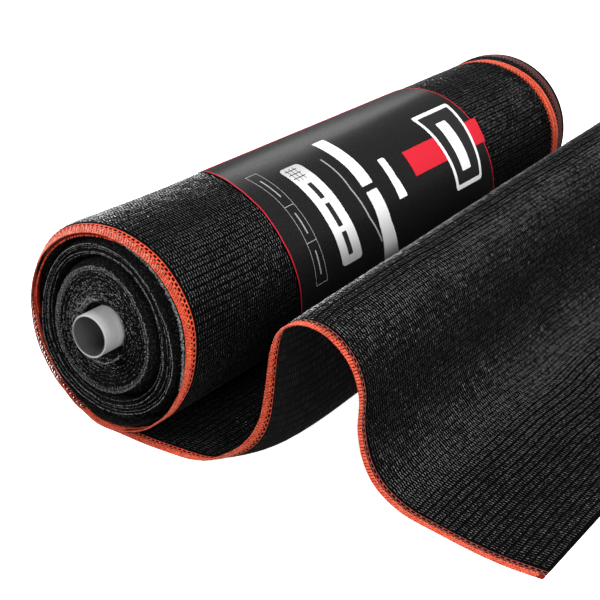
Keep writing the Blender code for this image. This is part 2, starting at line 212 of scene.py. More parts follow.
def tail_path(y):
    """The loose end's underside at a distance y from the near edge, as close points (n, 3)."""
    controls = []
    for past in LEAVING_ANGLES:
        x, _, z = roll_xyz(STEP_ANGLE + past, 1.0 + past / 360.0, y)
        controls.append((float(x), float(z), y))
    inside = 1.0 - math.exp(-min(y, NET_WIDTH - y) / EDGE_CURL)
    for x_edge, z_edge, x_in, z_in, drift, stray in FOLDS:
        x = mix(x_edge, x_in, inside) * MM - HUMP_DRIFT * (y / NET_WIDTH) * drift
        controls.append((x, mix(z_edge, z_in, inside) * MM, y - stray * MM * math.exp(-y / STRAY_DEPTH)))
    controls.append((TAIL_END_X, 0.0, controls[-1][2]))
    controls.append((2.0 * TAIL_END_X - controls[-2][0], 0.0, controls[-1][2]))
    c = np.array(controls)
    t = (np.arange(PATH_STEPS) / PATH_STEPS)[None, :, None]
    a, b, d, e = c[:-3, None], c[1:-2, None], c[2:-1, None], c[3:, None]
    curve = 0.5 * (2 * b + (d - a) * t + (2 * a - 5 * b + 4 * d - e) * t ** 2 + (3 * (b - d) + e - a) * t ** 3)
    curve = np.concatenate([curve.reshape(-1, 3), c[-2][None]])
    curve[:, 1] = np.maximum(curve[:, 1], 0.0)
    return np.stack([curve[:, 0], curve[:, 2] + NEAR_Y, curve[:, 1]], axis=1)


def ring_path(y, first_turn, steps=720):
    """The outermost turn's outer side up to where it leaves the roll, as close points (n, 3)."""
    turn = np.linspace(first_turn, 1.0, int(steps * (1.0 - first_turn)), endpoint=False)
    return roll_xyz(STEP_ANGLE + 360.0 * turn, turn, y)


def distances(path):
    """How far along a path each of its points lies."""
    return np.concatenate([[0.0], np.cumsum(np.linalg.norm(np.diff(path, axis=0), axis=1))])


def at_distances(path, wanted):
    along = distances(path)
    return np.stack([np.interp(wanted, along, path[:, k]) for k in range(3)], axis=1)


class Cloth:
    """A stretch of netting: its outer or lower side as rows across the width, evenly spaced along it."""

    def __init__(self, rows, paths, step, origin=0.0):
        lengths = [distances(path)[-1] for path in paths]
        self.length = float(np.mean(lengths))
        self.origin = origin
        count = int(round(self.length / step)) + 1
        self.rows = np.asarray(rows, float)
        self.points = np.array([
            at_distances(path, np.linspace(0.0, length, count)) for path, length in zip(paths, lengths)])
        slope = np.gradient(self.points, axis=1)
        slope[..., 1] = 0.0
        self.slopes = unit(slope)

    def at(self, along, across, lift=0.0):
        """Points at distances along and across, lifted from the outer or lower side, and the normals."""
        along, across, lift = arrays(along, across, lift)
        i = np.clip((along - self.origin) / self.length, 0.0, 1.0) * (self.points.shape[1] - 1)
        j = np.interp(across, self.rows, np.arange(len(self.rows)))
        i0 = np.minimum(i.astype(int), self.points.shape[1] - 2)
        j0 = np.minimum(j.astype(int), len(self.rows) - 2)
        u, v = (i - i0)[..., None], (j - j0)[..., None]

        def blend(grid):
            low = mix(grid[j0, i0], grid[j0, i0 + 1], u)
            return mix(low, mix(grid[j0 + 1, i0], grid[j0 + 1, i0 + 1], u), v)

        slope = unit(blend(self.slopes))
        normal = np.stack([-slope[..., 2], np.zeros(slope.shape[:-1]), slope[..., 0]], axis=-1)
        return blend(self.points) + normal * lift[..., None], normal


def waves(along, across, seed, wavelengths, lean=0.35):
    """Smooth irregular waves from -1 to 1, the same on each run."""
    pick = np.random.default_rng(seed)
    total = np.zeros(np.broadcast(along, across).shape)
    for size in wavelengths:
        for _ in range(3):
            turn = pick.uniform(-lean, lean)
            phase = pick.uniform(0.0, 2.0 * math.pi, 2)
            total = total + np.sin(2.0 * math.pi * (along + turn * across) / size + phase[0]) * np.cos(
                2.0 * math.pi * across / (size * pick.uniform(1.2, 2.4)) + phase[1])
    return total / (1.6 * len(wavelengths))

def wander(steps, seed, wavelengths):
    """Smooth irregular waves along one line."""
    return waves(steps, 0.0 * steps, seed, wavelengths, 0.0)


def within(across, margin):
    """How far inside the cloth between its bindings, from 0 at them to 1 at a margin."""
    return smoothstep((across - CLOTH_START) / margin) * smoothstep((CLOTH_END - across) / margin)


def rib_drift(along, across):
    """How far the ribs wander from straight lines."""
    slow = waves(along * 0.15, across, 11, (0.21, 0.093), 0.1)
    return 1.5 * MM * slow + 0.2 * MM * waves(along, across, 12, (0.045,), 0.3)


def ribbed(along, across):
    """Where the ribs lie, a little wavy: (distance along the weave, groove depth from 0 to 1)."""
    weave = along + rib_drift(along, across)
    part = (weave / RIB) % 1.0
    uneven = 0.65 + 0.35 * waves(along * 2.0, across, 13, (0.11, 0.05), 0.3)
    return weave, np.abs(2.0 * part - 1.0) ** 4 * uneven


def stitch_places(first, last, paired, seed):
    """The middles of the knit's stitches, two rows of them on each rib, and each one's length.

    paired(along, across) says how closely the two rows lie together, from 0 to 1.
    """
    pick = np.random.default_rng(seed)
    number = np.arange(2 * math.ceil(first / RIB), 2 * math.floor(last / RIB))
    column = np.arange(int((CLOTH_END - CLOTH_START) / STITCH) - 1)
    number, column = (a.ravel() for a in np.meshgrid(number, column, indexing="ij"))
    jog = np.random.default_rng(4).uniform(-0.22, 0.22, 800)[number % 800]
    weave = (number // 2 + 0.5) * RIB
    sway = 0.9 * waves(weave, CLOTH_START + column * STITCH, 14, (0.23, 0.08), 0.4)
    across = CLOTH_START + (column + 0.5 + jog + 0.5 + sway * 0.4) * STITCH
    across = across + pick.normal(0.0, 0.25 * MM, len(number))
    along = weave - rib_drift(weave, across)
    apart = mix(0.25, 0.19, paired(along, across))
    along = weave - rib_drift(along, across) + (number % 2 - 0.5) * 2.0 * apart * RIB
    along = along + pick.normal(0.0, 0.22 * MM, len(number))
    length = (2.0 * apart - 0.05) * RIB * pick.uniform(0.80, 1.02, len(number))
    kept = (across > CLOTH_START + 0.5 * STITCH) & (across < CLOTH_END - 0.5 * STITCH)
    kept &= (along > first) & (along < last)
    return along[kept], across[kept], length[kept]


def stitch_bars(put, along, across, length, seed):
    """Each stitch as a raised rounded bar along the cloth, from put(along, across, lift)."""
    pick = np.random.default_rng(seed)
    count = len(along)
    width = pick.uniform(0.26, 0.44, count) * STITCH
    height = pick.uniform(0.25, 0.85, count) * MM
    lean = pick.normal(0.15, 0.22, count) * MM
    ends = np.array([-0.5, -0.5, 0.5, 0.5, -0.44, 0.44])
    sides = np.array([-0.5, 0.5, 0.5, -0.5, 0.0, 0.0])
    u = along[:, None] + ends * length[:, None]
    v = across[:, None] + sides * width[:, None] + ends * 2.0 * lean[:, None]
    verts = put(u, v, np.where(sides == 0.0, height[:, None], -0.5 * MM))
    quads = np.array([(0, 3, 5, 4), (1, 4, 5, 2)])
    return verts.reshape(-1, 3), (quads + np.arange(count)[:, None, None] * 6).reshape(-1, 4).tolist()


def round_bars(piece):
    """Shades each bar as a rounded one, a little arched along its length too, and each tilted its own way."""
    pick = np.random.default_rng(9)
    flat = np.empty(3 * len(piece.data.vertices), np.float32)
    piece.data.vertices.foreach_get("co", flat)
    bar = flat.reshape(-1, 6, 3)
    along = unit(bar[:, 2] + bar[:, 3] - bar[:, 0] - bar[:, 1])
    side = unit(bar[:, 1] + bar[:, 2] - bar[:, 0] - bar[:, 3])
    out = np.cross(along, side)
    out *= np.sign(np.sum(out * (bar[:, 4] + bar[:, 5] - bar[:, 0] - bar[:, 2]), axis=1, keepdims=True))
    arch = np.array([-1.0, -1.0, 1.0, 1.0, -1.0, 1.0])[None, :, None] * BAR_ARCH
    swing = np.array([-1.0, 1.0, 1.0, -1.0, 0.0, 0.0])[None, :, None] * BAR_ROUND
    tilt = pick.normal(0.0, 1.0, (2, len(bar), 1))
    out = out + along * tilt[0] * BAR_TILT + side * tilt[1] * 1.5 * BAR_TILT
    normals = unit(out[:, None] + along[:, None] * arch + side[:, None] * swing)
    piece.data.normals_split_custom_set_from_vertices(normals.reshape(-1, 3).tolist())


# ---------------------------------------------------------------- meshes

def grid_faces(rows, columns, closed=False, first=0):
    i = np.arange(rows - 1)[:, None] * columns
    j = np.arange(columns if closed else columns - 1)[None, :]
    k = (j + 1) % columns
    return (np.stack([i + j, i + k, i + columns + k, i + columns + j], axis=-1).reshape(-1, 4) + first).tolist()


def add_object(name, data):
    thing = bpy.data.objects.new(name, data)
    bpy.context.scene.collection.objects.link(thing)
    return thing


def add_piece(name, verts, faces, surface, uv=None, sharp=None, kinds=None):
    """A mesh piece on the one body, with a weave map in metres and material numbers where given."""
    mesh = bpy.data.meshes.new(name)
    mesh.from_pydata(np.asarray(verts, float).reshape(-1, 3).tolist(), [], faces)
    if uv is not None:
        corner = np.empty(len(mesh.loops), np.int32)
        mesh.loops.foreach_get("vertex_index", corner)
        layer = mesh.uv_layers.new(name="weave")
        layer.data.foreach_set("uv", np.asarray(uv, np.float32).reshape(-1, 2)[corner].ravel())
    bm = bmesh.new()
    bm.from_mesh(mesh)
    bmesh.ops.recalc_face_normals(bm, faces=bm.faces)
    bm.to_mesh(mesh)
    bm.free()
    for each in surface if isinstance(surface, list) else [surface]:
        mesh.materials.append(each)
    if kinds is not None:
        mesh.polygons.foreach_set("material_index", kinds)
    mesh.shade_smooth()
    if sharp:
        mesh.set_sharp_from_angle(angle=math.radians(sharp))
    thing = add_object(name, mesh)
    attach(thing, "root")
    return thing


def closed_sheet(outer, inner):
    """Verts and faces of a closed sheet between two grids (rows, columns, 3)."""
    rows, columns = outer.shape[:2]
    count = rows * columns
    faces = grid_faces(rows, columns)
    faces += [list(reversed(face)) for face in grid_faces(rows, columns, first=count)]
    index = np.arange(count).reshape(rows, columns)
    rim = np.concatenate([index[0, :-1], index[:-1, -1], index[-1, :0:-1], index[:0:-1, 0]])
    following = np.roll(rim, -1)
    faces += np.stack([rim, rim + count, following + count, following], axis=1).tolist()
    return np.concatenate([outer.reshape(-1, 3), inner.reshape(-1, 3)]), faces


SPINDLE_SIDES = 3
SPINDLE_POINTS = 2 * SPINDLE_SIDES + 2


def spindles(starts, ends, normals, width, height):
    """Short rounded stitches from start to end points, as one set of verts and faces."""
    axis = unit(ends - starts)
    side = unit(np.cross(axis, normals))
    up = np.cross(side, axis)
    width, height = (np.broadcast_to(size, len(starts))[:, None] for size in (width, height))
    rings = []
    for share in (0.25, 0.75):
        middle = mix(starts, ends, share)
        for k in range(SPINDLE_SIDES):
            turn = 2.0 * math.pi * (k + 0.25) / SPINDLE_SIDES + math.pi / 2.0
            rings.append(middle + side * width * math.cos(turn) / 2.0 + up * height * math.sin(turn) / 2.0)
    verts = np.stack([starts] + rings + [ends], axis=1)
    offsets = np.arange(len(starts))[:, None] * SPINDLE_POINTS
    faces = []
    for k in range(SPINDLE_SIDES):
        low, low_next = 1 + k, 1 + (k + 1) % SPINDLE_SIDES
        high, high_next = low + SPINDLE_SIDES, low_next + SPINDLE_SIDES
        for corners in (
            (0, low_next, low), (low, low_next, high_next, high), (high, high_next, SPINDLE_POINTS - 1),
        ):
            faces += (np.array(corners) + offsets).tolist()
    return verts.reshape(-1, 3), faces


def join(parts):
    """Several sets of verts and faces as one. A set may have a material number, or one for each face."""
    verts, faces, kinds = [], [], []
    start = 0
    for points, polygons, *kind in parts:
        verts.append(points)
        faces += [[v + start for v in face] for face in polygons]
        kinds += np.broadcast_to(kind[0] if kind else 0, len(polygons)).tolist()
        start += len(points)
    return np.concatenate(verts), faces, kinds


# ---------------------------------------------------------------- materials

class Surface:
    """A node material with short calls for its maths."""

    def __init__(self, name, roughness=0.5, specular=0.5):
        self.material = bpy.data.materials.new(name)
        self.material.use_nodes = True
        self.tree = self.material.node_tree
        self.shader = self.tree.nodes["Principled BSDF"]
        self.shader.inputs["Roughness"].default_value = roughness
        self.shader.inputs["Specular IOR Level"].default_value = specular

    def node(self, kind, **settings):
        made = self.tree.nodes.new(kind)
        for key, value in settings.items():
            setattr(made, key, value)
        return made

    def feed(self, socket, value):
        if isinstance(value, bpy.types.NodeSocket):
            self.tree.links.new(value, socket)
        else:
            socket.default_value = value

    def math(self, operation, a, b=0.0, c=0.0):
        made = self.node("ShaderNodeMath", operation=operation)
        for socket, value in zip(made.inputs, (a, b, c)):
            self.feed(socket, value)
        return made.outputs[0]

    def times(self, value, *others):
        for other in others:
            value = self.math("MULTIPLY", value, other)
        return value

    def ease(self, value, low, high, to_low=0.0, to_high=1.0):
        made = self.node("ShaderNodeMapRange", interpolation_type="SMOOTHSTEP")
        for socket, number in zip(made.inputs, (value, low, high, to_low, to_high)):
            self.feed(socket, number)
        return made.outputs[0]

    def blend(self, share, a, b):
        made = self.node("ShaderNodeMix", data_type="RGBA")
        self.feed(made.inputs[0], share)
        for socket, value in ((made.inputs[6], a), (made.inputs[7], b)):
            self.feed(socket, value if isinstance(value, bpy.types.NodeSocket) else (*value, 1.0))
        return made.outputs[2]

    def noise(self, where, scale, detail=2.0, roughness=0.5):
        made = self.node("ShaderNodeTexNoise")
        for key, value in (("Vector", where), ("Scale", scale), ("Detail", detail), ("Roughness", roughness)):
            self.feed(made.inputs[key], value)
        return made.outputs["Fac"]

    def scaled(self, where, factors):
        made = self.node("ShaderNodeMapping")
        self.feed(made.inputs["Vector"], where)
        made.inputs["Scale"].default_value = factors
        return made.outputs[0]

    def place(self):
        return self.node("ShaderNodeTexCoord").outputs["Object"]

    def weave(self):
        return self.node("ShaderNodeUVMap", uv_map="weave").outputs[0]

    def parts(self, vector):
        made = self.node("ShaderNodeSeparateXYZ")
        self.feed(made.inputs[0], vector)
        return made.outputs

    def bump(self, height, distance, strength=1.0):
        made = self.node("ShaderNodeBump")
        made.inputs["Strength"].default_value = strength
        made.inputs["Distance"].default_value = distance
        self.feed(made.inputs["Height"], height)
        self.tree.links.new(made.outputs[0], self.shader.inputs["Normal"])

    def colour(self, value):
        self.feed(self.shader.inputs["Base Color"], value)

    def roughness(self, value):
        self.feed(self.shader.inputs["Roughness"], value)


def netting_surface(name, dark, light):
    """Black knitted netting: a row of fine stitches down its length on each rib, jogging from rib to rib."""
    s = Surface(name, 0.5, 0.15)
    where = s.weave()
    u, v, _ = s.parts(where)
    row = s.math("DIVIDE", v, RIB)
    number = s.math("FLOOR", row)
    part = s.math("FRACT", row)
    shake = s.node("ShaderNodeTexWhiteNoise", noise_dimensions="1D")
    s.feed(shake.inputs["W"], number)
    sway = s.noise(s.scaled(where, (38.0, 90.0, 1.0)), 1.0, 2.0)
    column = s.math("ADD", s.math("DIVIDE", u, STITCH), s.times(shake.outputs["Value"], 0.7))
    column = s.math("ADD", column, s.times(sway, 1.9))
    ridge = s.ease(s.times(s.math("PINGPONG", column, 0.5), 2.0), 0.30, 0.90)
    away = s.math("ABSOLUTE", s.math("MULTIPLY_ADD", part, 2.0, -1.0))
    stitch = s.times(ridge, s.ease(away, 0.62, 0.96, 1.0, 0.0))
    each = s.node("ShaderNodeCombineXYZ")
    s.feed(each.inputs[0], s.math("FLOOR", column))
    s.feed(each.inputs[1], number)
    own = s.node("ShaderNodeTexWhiteNoise", noise_dimensions="2D")
    s.feed(own.inputs["Vector"], each.outputs[0])
    fuzz = s.noise(where, 700.0, 2.0, 0.6)
    patchy = s.noise(s.scaled(where, (30.0, 70.0, 1.0)), 1.0, 3.0, 0.6)
    shown = s.times(
        stitch, s.ease(own.outputs["Value"], 0.0, 1.0, 0.25, 1.0), s.ease(patchy, 0.32, 0.68, 0.25, 1.0),
        s.ease(fuzz, 0.3, 0.6, 0.5, 1.0))
    s.colour(s.blend(shown, dark, light))
    s.roughness(s.ease(shown, 0.0, 0.8, 0.7, 0.34))
    s.bump(s.math("MULTIPLY_ADD", fuzz, 0.15, stitch), 1.1 * MM)
    return s.material


def ground_surface(name, dark, light):
    """The knit's black ground between its stitches, matt and a little fuzzy."""
    s = Surface(name, 0.75, 0.02)
    where = s.place()
    fuzz = s.noise(where, 900.0, 2.0, 0.6)
    s.colour(s.blend(s.ease(fuzz, 0.5, 0.8), dark, light))
    s.roughness(s.ease(fuzz, 0.3, 0.7, 0.85, 0.65))
    s.bump(fuzz, 0.5 * MM, 0.8)
    return s.material


def yarn_surface(name, dark, light):
    """The knit's stitches: flat black yarn with a plastic gloss, unevenly dusty."""
    s = Surface(name, 0.35, 0.62)
    where = s.place()
    fine = s.noise(where, 650.0, 2.0, 0.6)
    broad = s.noise(where, 26.0, 3.0, 0.6)
    tone = s.times(s.ease(fine, 0.30, 0.68), s.ease(broad, 0.30, 0.70, 0.55, 1.0))
    s.colour(s.blend(tone, dark, light))
    s.roughness(s.ease(fine, 0.3, 0.7, 0.42, 0.25))
    s.bump(fine, 0.25 * MM, 0.6)
    return s.material


def edge_surface(name, dark, light, low, high):
    """Cut or knitted edges of the wound turns: black, flecked lighter; on the fibres and chains the pale colour is
    painted highlight.
    """
    s = Surface(name, 0.8, 0.08)
    where = s.place()
    coarse = s.noise(where, 420.0, 3.0, 0.7)
    fine = s.noise(where, 1300.0, 1.0, 0.5)
    shown = s.times(s.ease(coarse, low, high), s.ease(fine, 0.35, 0.65, 0.3, 1.0))
    s.colour(s.blend(shown, dark, light))
    s.bump(coarse, 0.9 * MM, 0.9)
    return s.material


def binding_surface(name, deep, bright, pale, gloss=0.3, sheen=0.25):
    """Orange knitted polyester, its tone varying at random from deep to bright, with pale fibres; a darkened copy
    is painted shade on the ground between the stitches.
    """
    s = Surface(name, 0.55, gloss)
    where = s.place()
    tone = s.noise(where, 160.0, 2.0)
    fibre = s.noise(where, 1500.0, 2.0, 0.6)
    base = s.blend(s.ease(tone, 0.35, 0.7), deep, bright)
    s.colour(s.blend(s.ease(fibre, 0.55, 0.85, 0.0, 0.6), base, pale))
    s.bump(fibre, 0.25 * MM, 0.6)
    s.shader.inputs["Sheen Weight"].default_value = sheen
    s.shader.inputs["Sheen Roughness"].default_value = 0.4
    return s.material


def plastic_surface():
    """Grey extruded plastic tube with faint rings round it and a scuffed, paler end; the inside of its bore is
    coloured near black as painted shade.
    """
    s = Surface("core_plastic", 0.48, 0.4)
    where = s.place()
    rings = s.noise(s.scaled(where, (6.0, 900.0, 6.0)), 1.0, 3.0, 0.6)
    scuff = s.noise(where, 240.0, 4.0, 0.65)
    blotch = s.noise(where, 38.0, 2.0)
    tone = s.blend(s.ease(rings, 0.3, 0.7), (0.36, 0.36, 0.365), (0.46, 0.46, 0.465))
    tone = s.blend(s.ease(scuff, 0.55, 0.8, 0.0, 0.5), tone, (0.54, 0.54, 0.54))
    tone = s.blend(s.ease(blotch, 0.35, 0.7, 0.0, 0.35), tone, (0.38, 0.38, 0.39))
    x, _, z = s.parts(where)
    height = s.math("SUBTRACT", z, CORE_AXIS_Z)
    reach = s.math("SQRT", s.math("ADD", s.times(x, x), s.times(height, height)))
    # painted shade: the bore's inner wall is coloured near black, where little light gets in
    inside = s.ease(reach, 24.2 * MM, 25.4 * MM, 1.0, 0.0)
    s.colour(s.blend(inside, tone, (0.070, 0.070, 0.072)))
    s.roughness(s.ease(scuff, 0.3, 0.7, 0.4, 0.6))
    s.bump(s.math("MULTIPLY_ADD", scuff, 0.9, rings), 0.30 * MM, 0.8)
    return s.material


def film_surface(name, tones, roughness=0.31):
    """Printed plastic film, satin, with the knit below just telling through."""
    s = Surface(name, roughness, 0.26)
    where = s.place()
    ripple = s.noise(s.scaled(where, (30.0, 9.0, 30.0)), 1.0, 2.0)
    grain = s.noise(where, 520.0, 2.0, 0.6)
    s.colour(s.blend(s.ease(grain, 0.35, 0.7), *tones))
    s.roughness(s.ease(grain, 0.3, 0.7, roughness - 0.05, roughness + 0.08))
    s.bump(s.math("MULTIPLY_ADD", grain, 0.05, ripple), 0.5 * MM, 0.35)
    s.shader.inputs["Coat Weight"].default_value = 0.03
    s.shader.inputs["Coat Roughness"].default_value = 0.3
    return s.material


def floor_surface():
    """Plain white studio floor."""
    s = Surface("studio_floor", 0.9, 0.0)
    faint = s.noise(s.place(), 3.0, 2.0)
    s.colour(s.blend(faint, (0.93, 0.93, 0.93), (0.95, 0.95, 0.95)))
    s.shader.inputs["Emission Color"].default_value = (1.0, 1.0, 1.0, 1.0)
    s.shader.inputs["Emission Strength"].default_value = 0.95
    return s.material


NETTING = netting_surface("netting_back", (0.0015, 0.0015, 0.0016), (0.022, 0.022, 0.023))
GROUND = ground_surface("netting_ground", (0.0012, 0.0012, 0.0013), (0.006, 0.006, 0.0062))
YARN = yarn_surface("netting_yarn", (0.005, 0.005, 0.0052), (0.034, 0.0345, 0.036))
TURNS = edge_surface("turn_edges", (0.0012, 0.0012, 0.0012), (0.060, 0.060, 0.060), 0.50, 0.72)
# painted highlight: the pale grey of the fibres and chains stands for glints on the black yarn's edges
FIBRES = edge_surface("edge_fibres", (0.03, 0.03, 0.03), (0.46, 0.46, 0.46), 0.36, 0.58)
CHAINS = edge_surface("edge_chains", (0.06, 0.06, 0.06), (0.34, 0.34, 0.34), 0.32, 0.58)
BINDING = binding_surface("binding_knit", (0.64, 0.066, 0.020), (0.87, 0.125, 0.048), (0.96, 0.38, 0.25))
# painted highlight: pale salmon loops on the ring's top left, where the light falls
BINDING_PAINTED_HIGHLIGHT = binding_surface("binding_painted_highlight", (0.60, 0.100, 0.050), (0.86, 0.260, 0.170), (0.97, 0.66, 0.56))
BINDING_OPEN = binding_surface(
    "binding_lattice", (0.50, 0.042, 0.013), (0.68, 0.075, 0.026), (0.84, 0.20, 0.11), 0.2, 0.1)
# painted shade: the bands' ground between their loops, coloured far darker than the loops
BINDING_PAINTED_SHADE = binding_surface(
    "binding_ground_painted_shade", (0.10, 0.007, 0.004), (0.17, 0.012, 0.006), (0.26, 0.025, 0.010), 0.05, 0.0)
BINDING_THIN = binding_surface(
    "binding_thin_chain", (0.16, 0.014, 0.006), (0.30, 0.032, 0.014), (0.45, 0.08, 0.04))
# painted shade: the inner turn's binding, recessed in the far end, is a dark red-brown copy of the orange
BINDING_INNER_SHADED = binding_surface(
    "binding_inner_turn_painted_shade", (0.060, 0.009, 0.007), (0.110, 0.016, 0.012), (0.17, 0.04, 0.03))
FILM = film_surface("label_film", ((0.008, 0.0072, 0.0076), (0.013, 0.0118, 0.0122)))
WHITE_PRINT = film_surface("print_white", ((0.90, 0.90, 0.90), (0.95, 0.95, 0.95)), 0.4)
GREY_PRINT = film_surface("print_grey", ((0.30, 0.30, 0.30), (0.36, 0.36, 0.36)), 0.4)
RED_PRINT = film_surface("print_red", ((0.62, 0.014, 0.030), (0.70, 0.020, 0.040)), 0.4)
DARK_PRINT = film_surface("print_black", ((0.016, 0.016, 0.016), (0.022, 0.022, 0.022)), 0.4)


# ---------------------------------------------------------------- camera, light and floor

def add_camera():
    """The camera at the photograph's viewing angle, fitted to its outlines."""
    data = bpy.data.cameras.new("camera")
    data.sensor_width = 36.0
    data.lens = 85.898
    data.clip_start = 0.05
    data.clip_end = 60.0
    thing = add_object("camera", data)
    thing.location = (1.0552, -1.6530, 0.8235)
    yaw, pitch = math.radians(33.841), math.radians(22.791)
    look = Vector((-math.sin(yaw) * math.cos(pitch), math.cos(yaw) * math.cos(pitch), -math.sin(pitch)))
    thing.rotation_euler = look.to_track_quat("-Z", "Y").to_euler()
    bpy.context.scene.camera = thing


def add_light(name, place, aim, size, power):
    """A soft light: its place, what it points at, its width and height in metres, and its watts."""
    data = bpy.data.lights.new(name, "AREA")
    data.shape = "RECTANGLE"
    data.size, data.size_y = size
    data.energy = power
    thing = add_object(name, data)
    thing.location = place
    thing.rotation_euler = (Vector(aim) - Vector(place)).to_track_quat("-Z", "Y").to_euler()


def add_studio():
    """Soft lights, a pale surround and a plain floor, which isn't part of the object."""
    add_light("left", (-2.2, 0.2, 1.5), (0.0, -0.1, 0.15), (0.8, 1.4), 60.0)
    add_light("back", (-1.3, 2.0, 1.3), (0.0, 0.1, 0.2), (0.8, 0.8), 3.6)
    add_light("front", (-1.3, -2.3, 1.2), (-0.05, -0.5, 0.13), (1.0, 0.8), 46.0)
    add_light("right", (2.3, -1.5, 1.1), (0.2, -0.3, 0.12), (1.2, 1.2), 37.0)
    add_light("low", (1.5, -2.3, 0.42), (0.15, -0.45, 0.14), (0.9, 0.5), 24.0)
    add_light("top", (1.25, 0.1, 2.4), (0.3, 0.0, 0.1), (0.45, 1.8), 60.0)
    world = bpy.data.worlds.new("studio")
    world.use_nodes = True
    back = world.node_tree.nodes["Background"]
    back.inputs["Color"].default_value = (1.0, 1.0, 1.0, 1.0)
    back.inputs["Strength"].default_value = 0.16
    bpy.context.scene.world = world
    bpy.context.scene.view_settings.view_transform = "Standard"
    bpy.context.scene.view_settings.look = "None"
    mesh = bpy.data.meshes.new("floor")
    half = 9.0
    corners = [(-half, -half, 0), (half, -half, 0), (half, half, 0), (-half, half, 0)]
    mesh.from_pydata(corners, [], [(0, 1, 2, 3)])
    mesh.materials.append(floor_surface())
    floor = add_object("floor", mesh)
    floor.location.z = -0.3 * MM
    floor.visible_diffuse = False
    floor.visible_glossy = False


# ---------------------------------------------------------------- the wound roll

# Share of the radius and depth in mm
NEAR_FACE = [
    (0.30, 5.5), (0.52, 6.5), (0.596, 8.5), (0.606, 11.0), (0.616, 24.0), (0.628, 30.0), (0.680, 30.0),
    (0.690, 24.0), (0.702, 15.0), (0.760, 15.0), (0.835, 14.0), (0.845, 17.0), (0.856, 26.0), (0.880, 28.0),
    (0.915, 27.0), (0.934, 25.0), (0.948, 24.0), (0.957, 24.0),
]
# How far the inner turns lie off centre, as a share of the radius: one row for each of the shares,
# with its values at 0, 45, ... 315 degrees
OFF_SHARES = (0.25, 0.45, 0.588, 0.748, 0.830, 0.957)
OFF_CENTRE = np.array([
    (0.0, 0.0, 0.0, 0.0, 0.0, 0.0, 0.0, 0.0),
    (-0.030, -0.043, 0.0, 0.030, 0.073, 0.086, 0.036, 0.002),
    (-0.051, -0.072, 0.002, 0.050, 0.122, 0.143, 0.061, 0.003),
    (-0.042, -0.061, -0.023, 0.017, 0.077, 0.085, 0.019, 0.012),
    (-0.016, -0.075, -0.024, 0.007, 0.066, 0.095, 0.010, 0.036),
    (0.0, 0.0, 0.0, 0.0, 0.0, 0.0, 0.0, 0.0),
])
LIP_SHARE = 0.963
# The pit under the core: its middle and half width in degrees, depth in mm, and the share it fades from
PIT_ANGLE, PIT_HALF, PIT_DEPTH, PIT_SHARE = 272.0, 38.0, 9.0, 0.40
FAR_FACE = [(0.40, 4.0), (0.62, 1.5), (0.66, 14.0), (0.74, 14.0), (0.77, 6.0), (0.90, 6.0)]


def profile(table, steps):
    """A face's shares and depths in metres, with more put in evenly between them."""
    where = np.linspace(0, len(table) - 1, (len(table) - 1) * steps + 1)
    shares, depths = (np.interp(where, np.arange(len(table)), values) for values in zip(*table))
    return list(zip(shares, depths * MM))


def roll_dip(along, across):
    """How far the outermost turn lies in from its even shape."""
    return 0.35 * MM * (1.0 - waves(along, across, 5, (0.09, 0.16))) * within(across, 12 * MM)


def make_roll_stitches():
    """The stitches on the outermost turn, all but those that the label covers."""
    def put(along, across, lift):
        turn = 1.0 + along / RING_LENGTH
        return roll_xyz(STEP_ANGLE + 360.0 * turn, turn, across, roll_dip(along, across) - lift)

    def paired(along, across):
        return np.clip(0.5 + 0.9 * waves(along, across, 17, (0.16, 0.31)), 0.0, 1.0)

    along, across, length = stitch_places(-0.98 * RING_LENGTH, 0.0, paired, 61)
    angle = STEP_ANGLE + 360.0 * (1.0 + along / RING_LENGTH)
    near, far = beside(LABEL_ROWS, angle)
    covered = (angle < LABEL_TOP_ANGLE + 2.5) & (angle > LABEL_BOTTOM_ANGLE - 2.5)
    covered &= (across > (near - 1.5) * MM) & (across < (far + 1.5) * MM)
    resting = put(along, across, np.zeros(len(along)))[:, 2] < 2.0 * MM
    kept = ~(covered | resting)
    verts, faces = stitch_bars(put, along[kept], across[kept], length[kept], 62)
    round_bars(add_piece("net_roll_stitches", verts, faces, YARN))


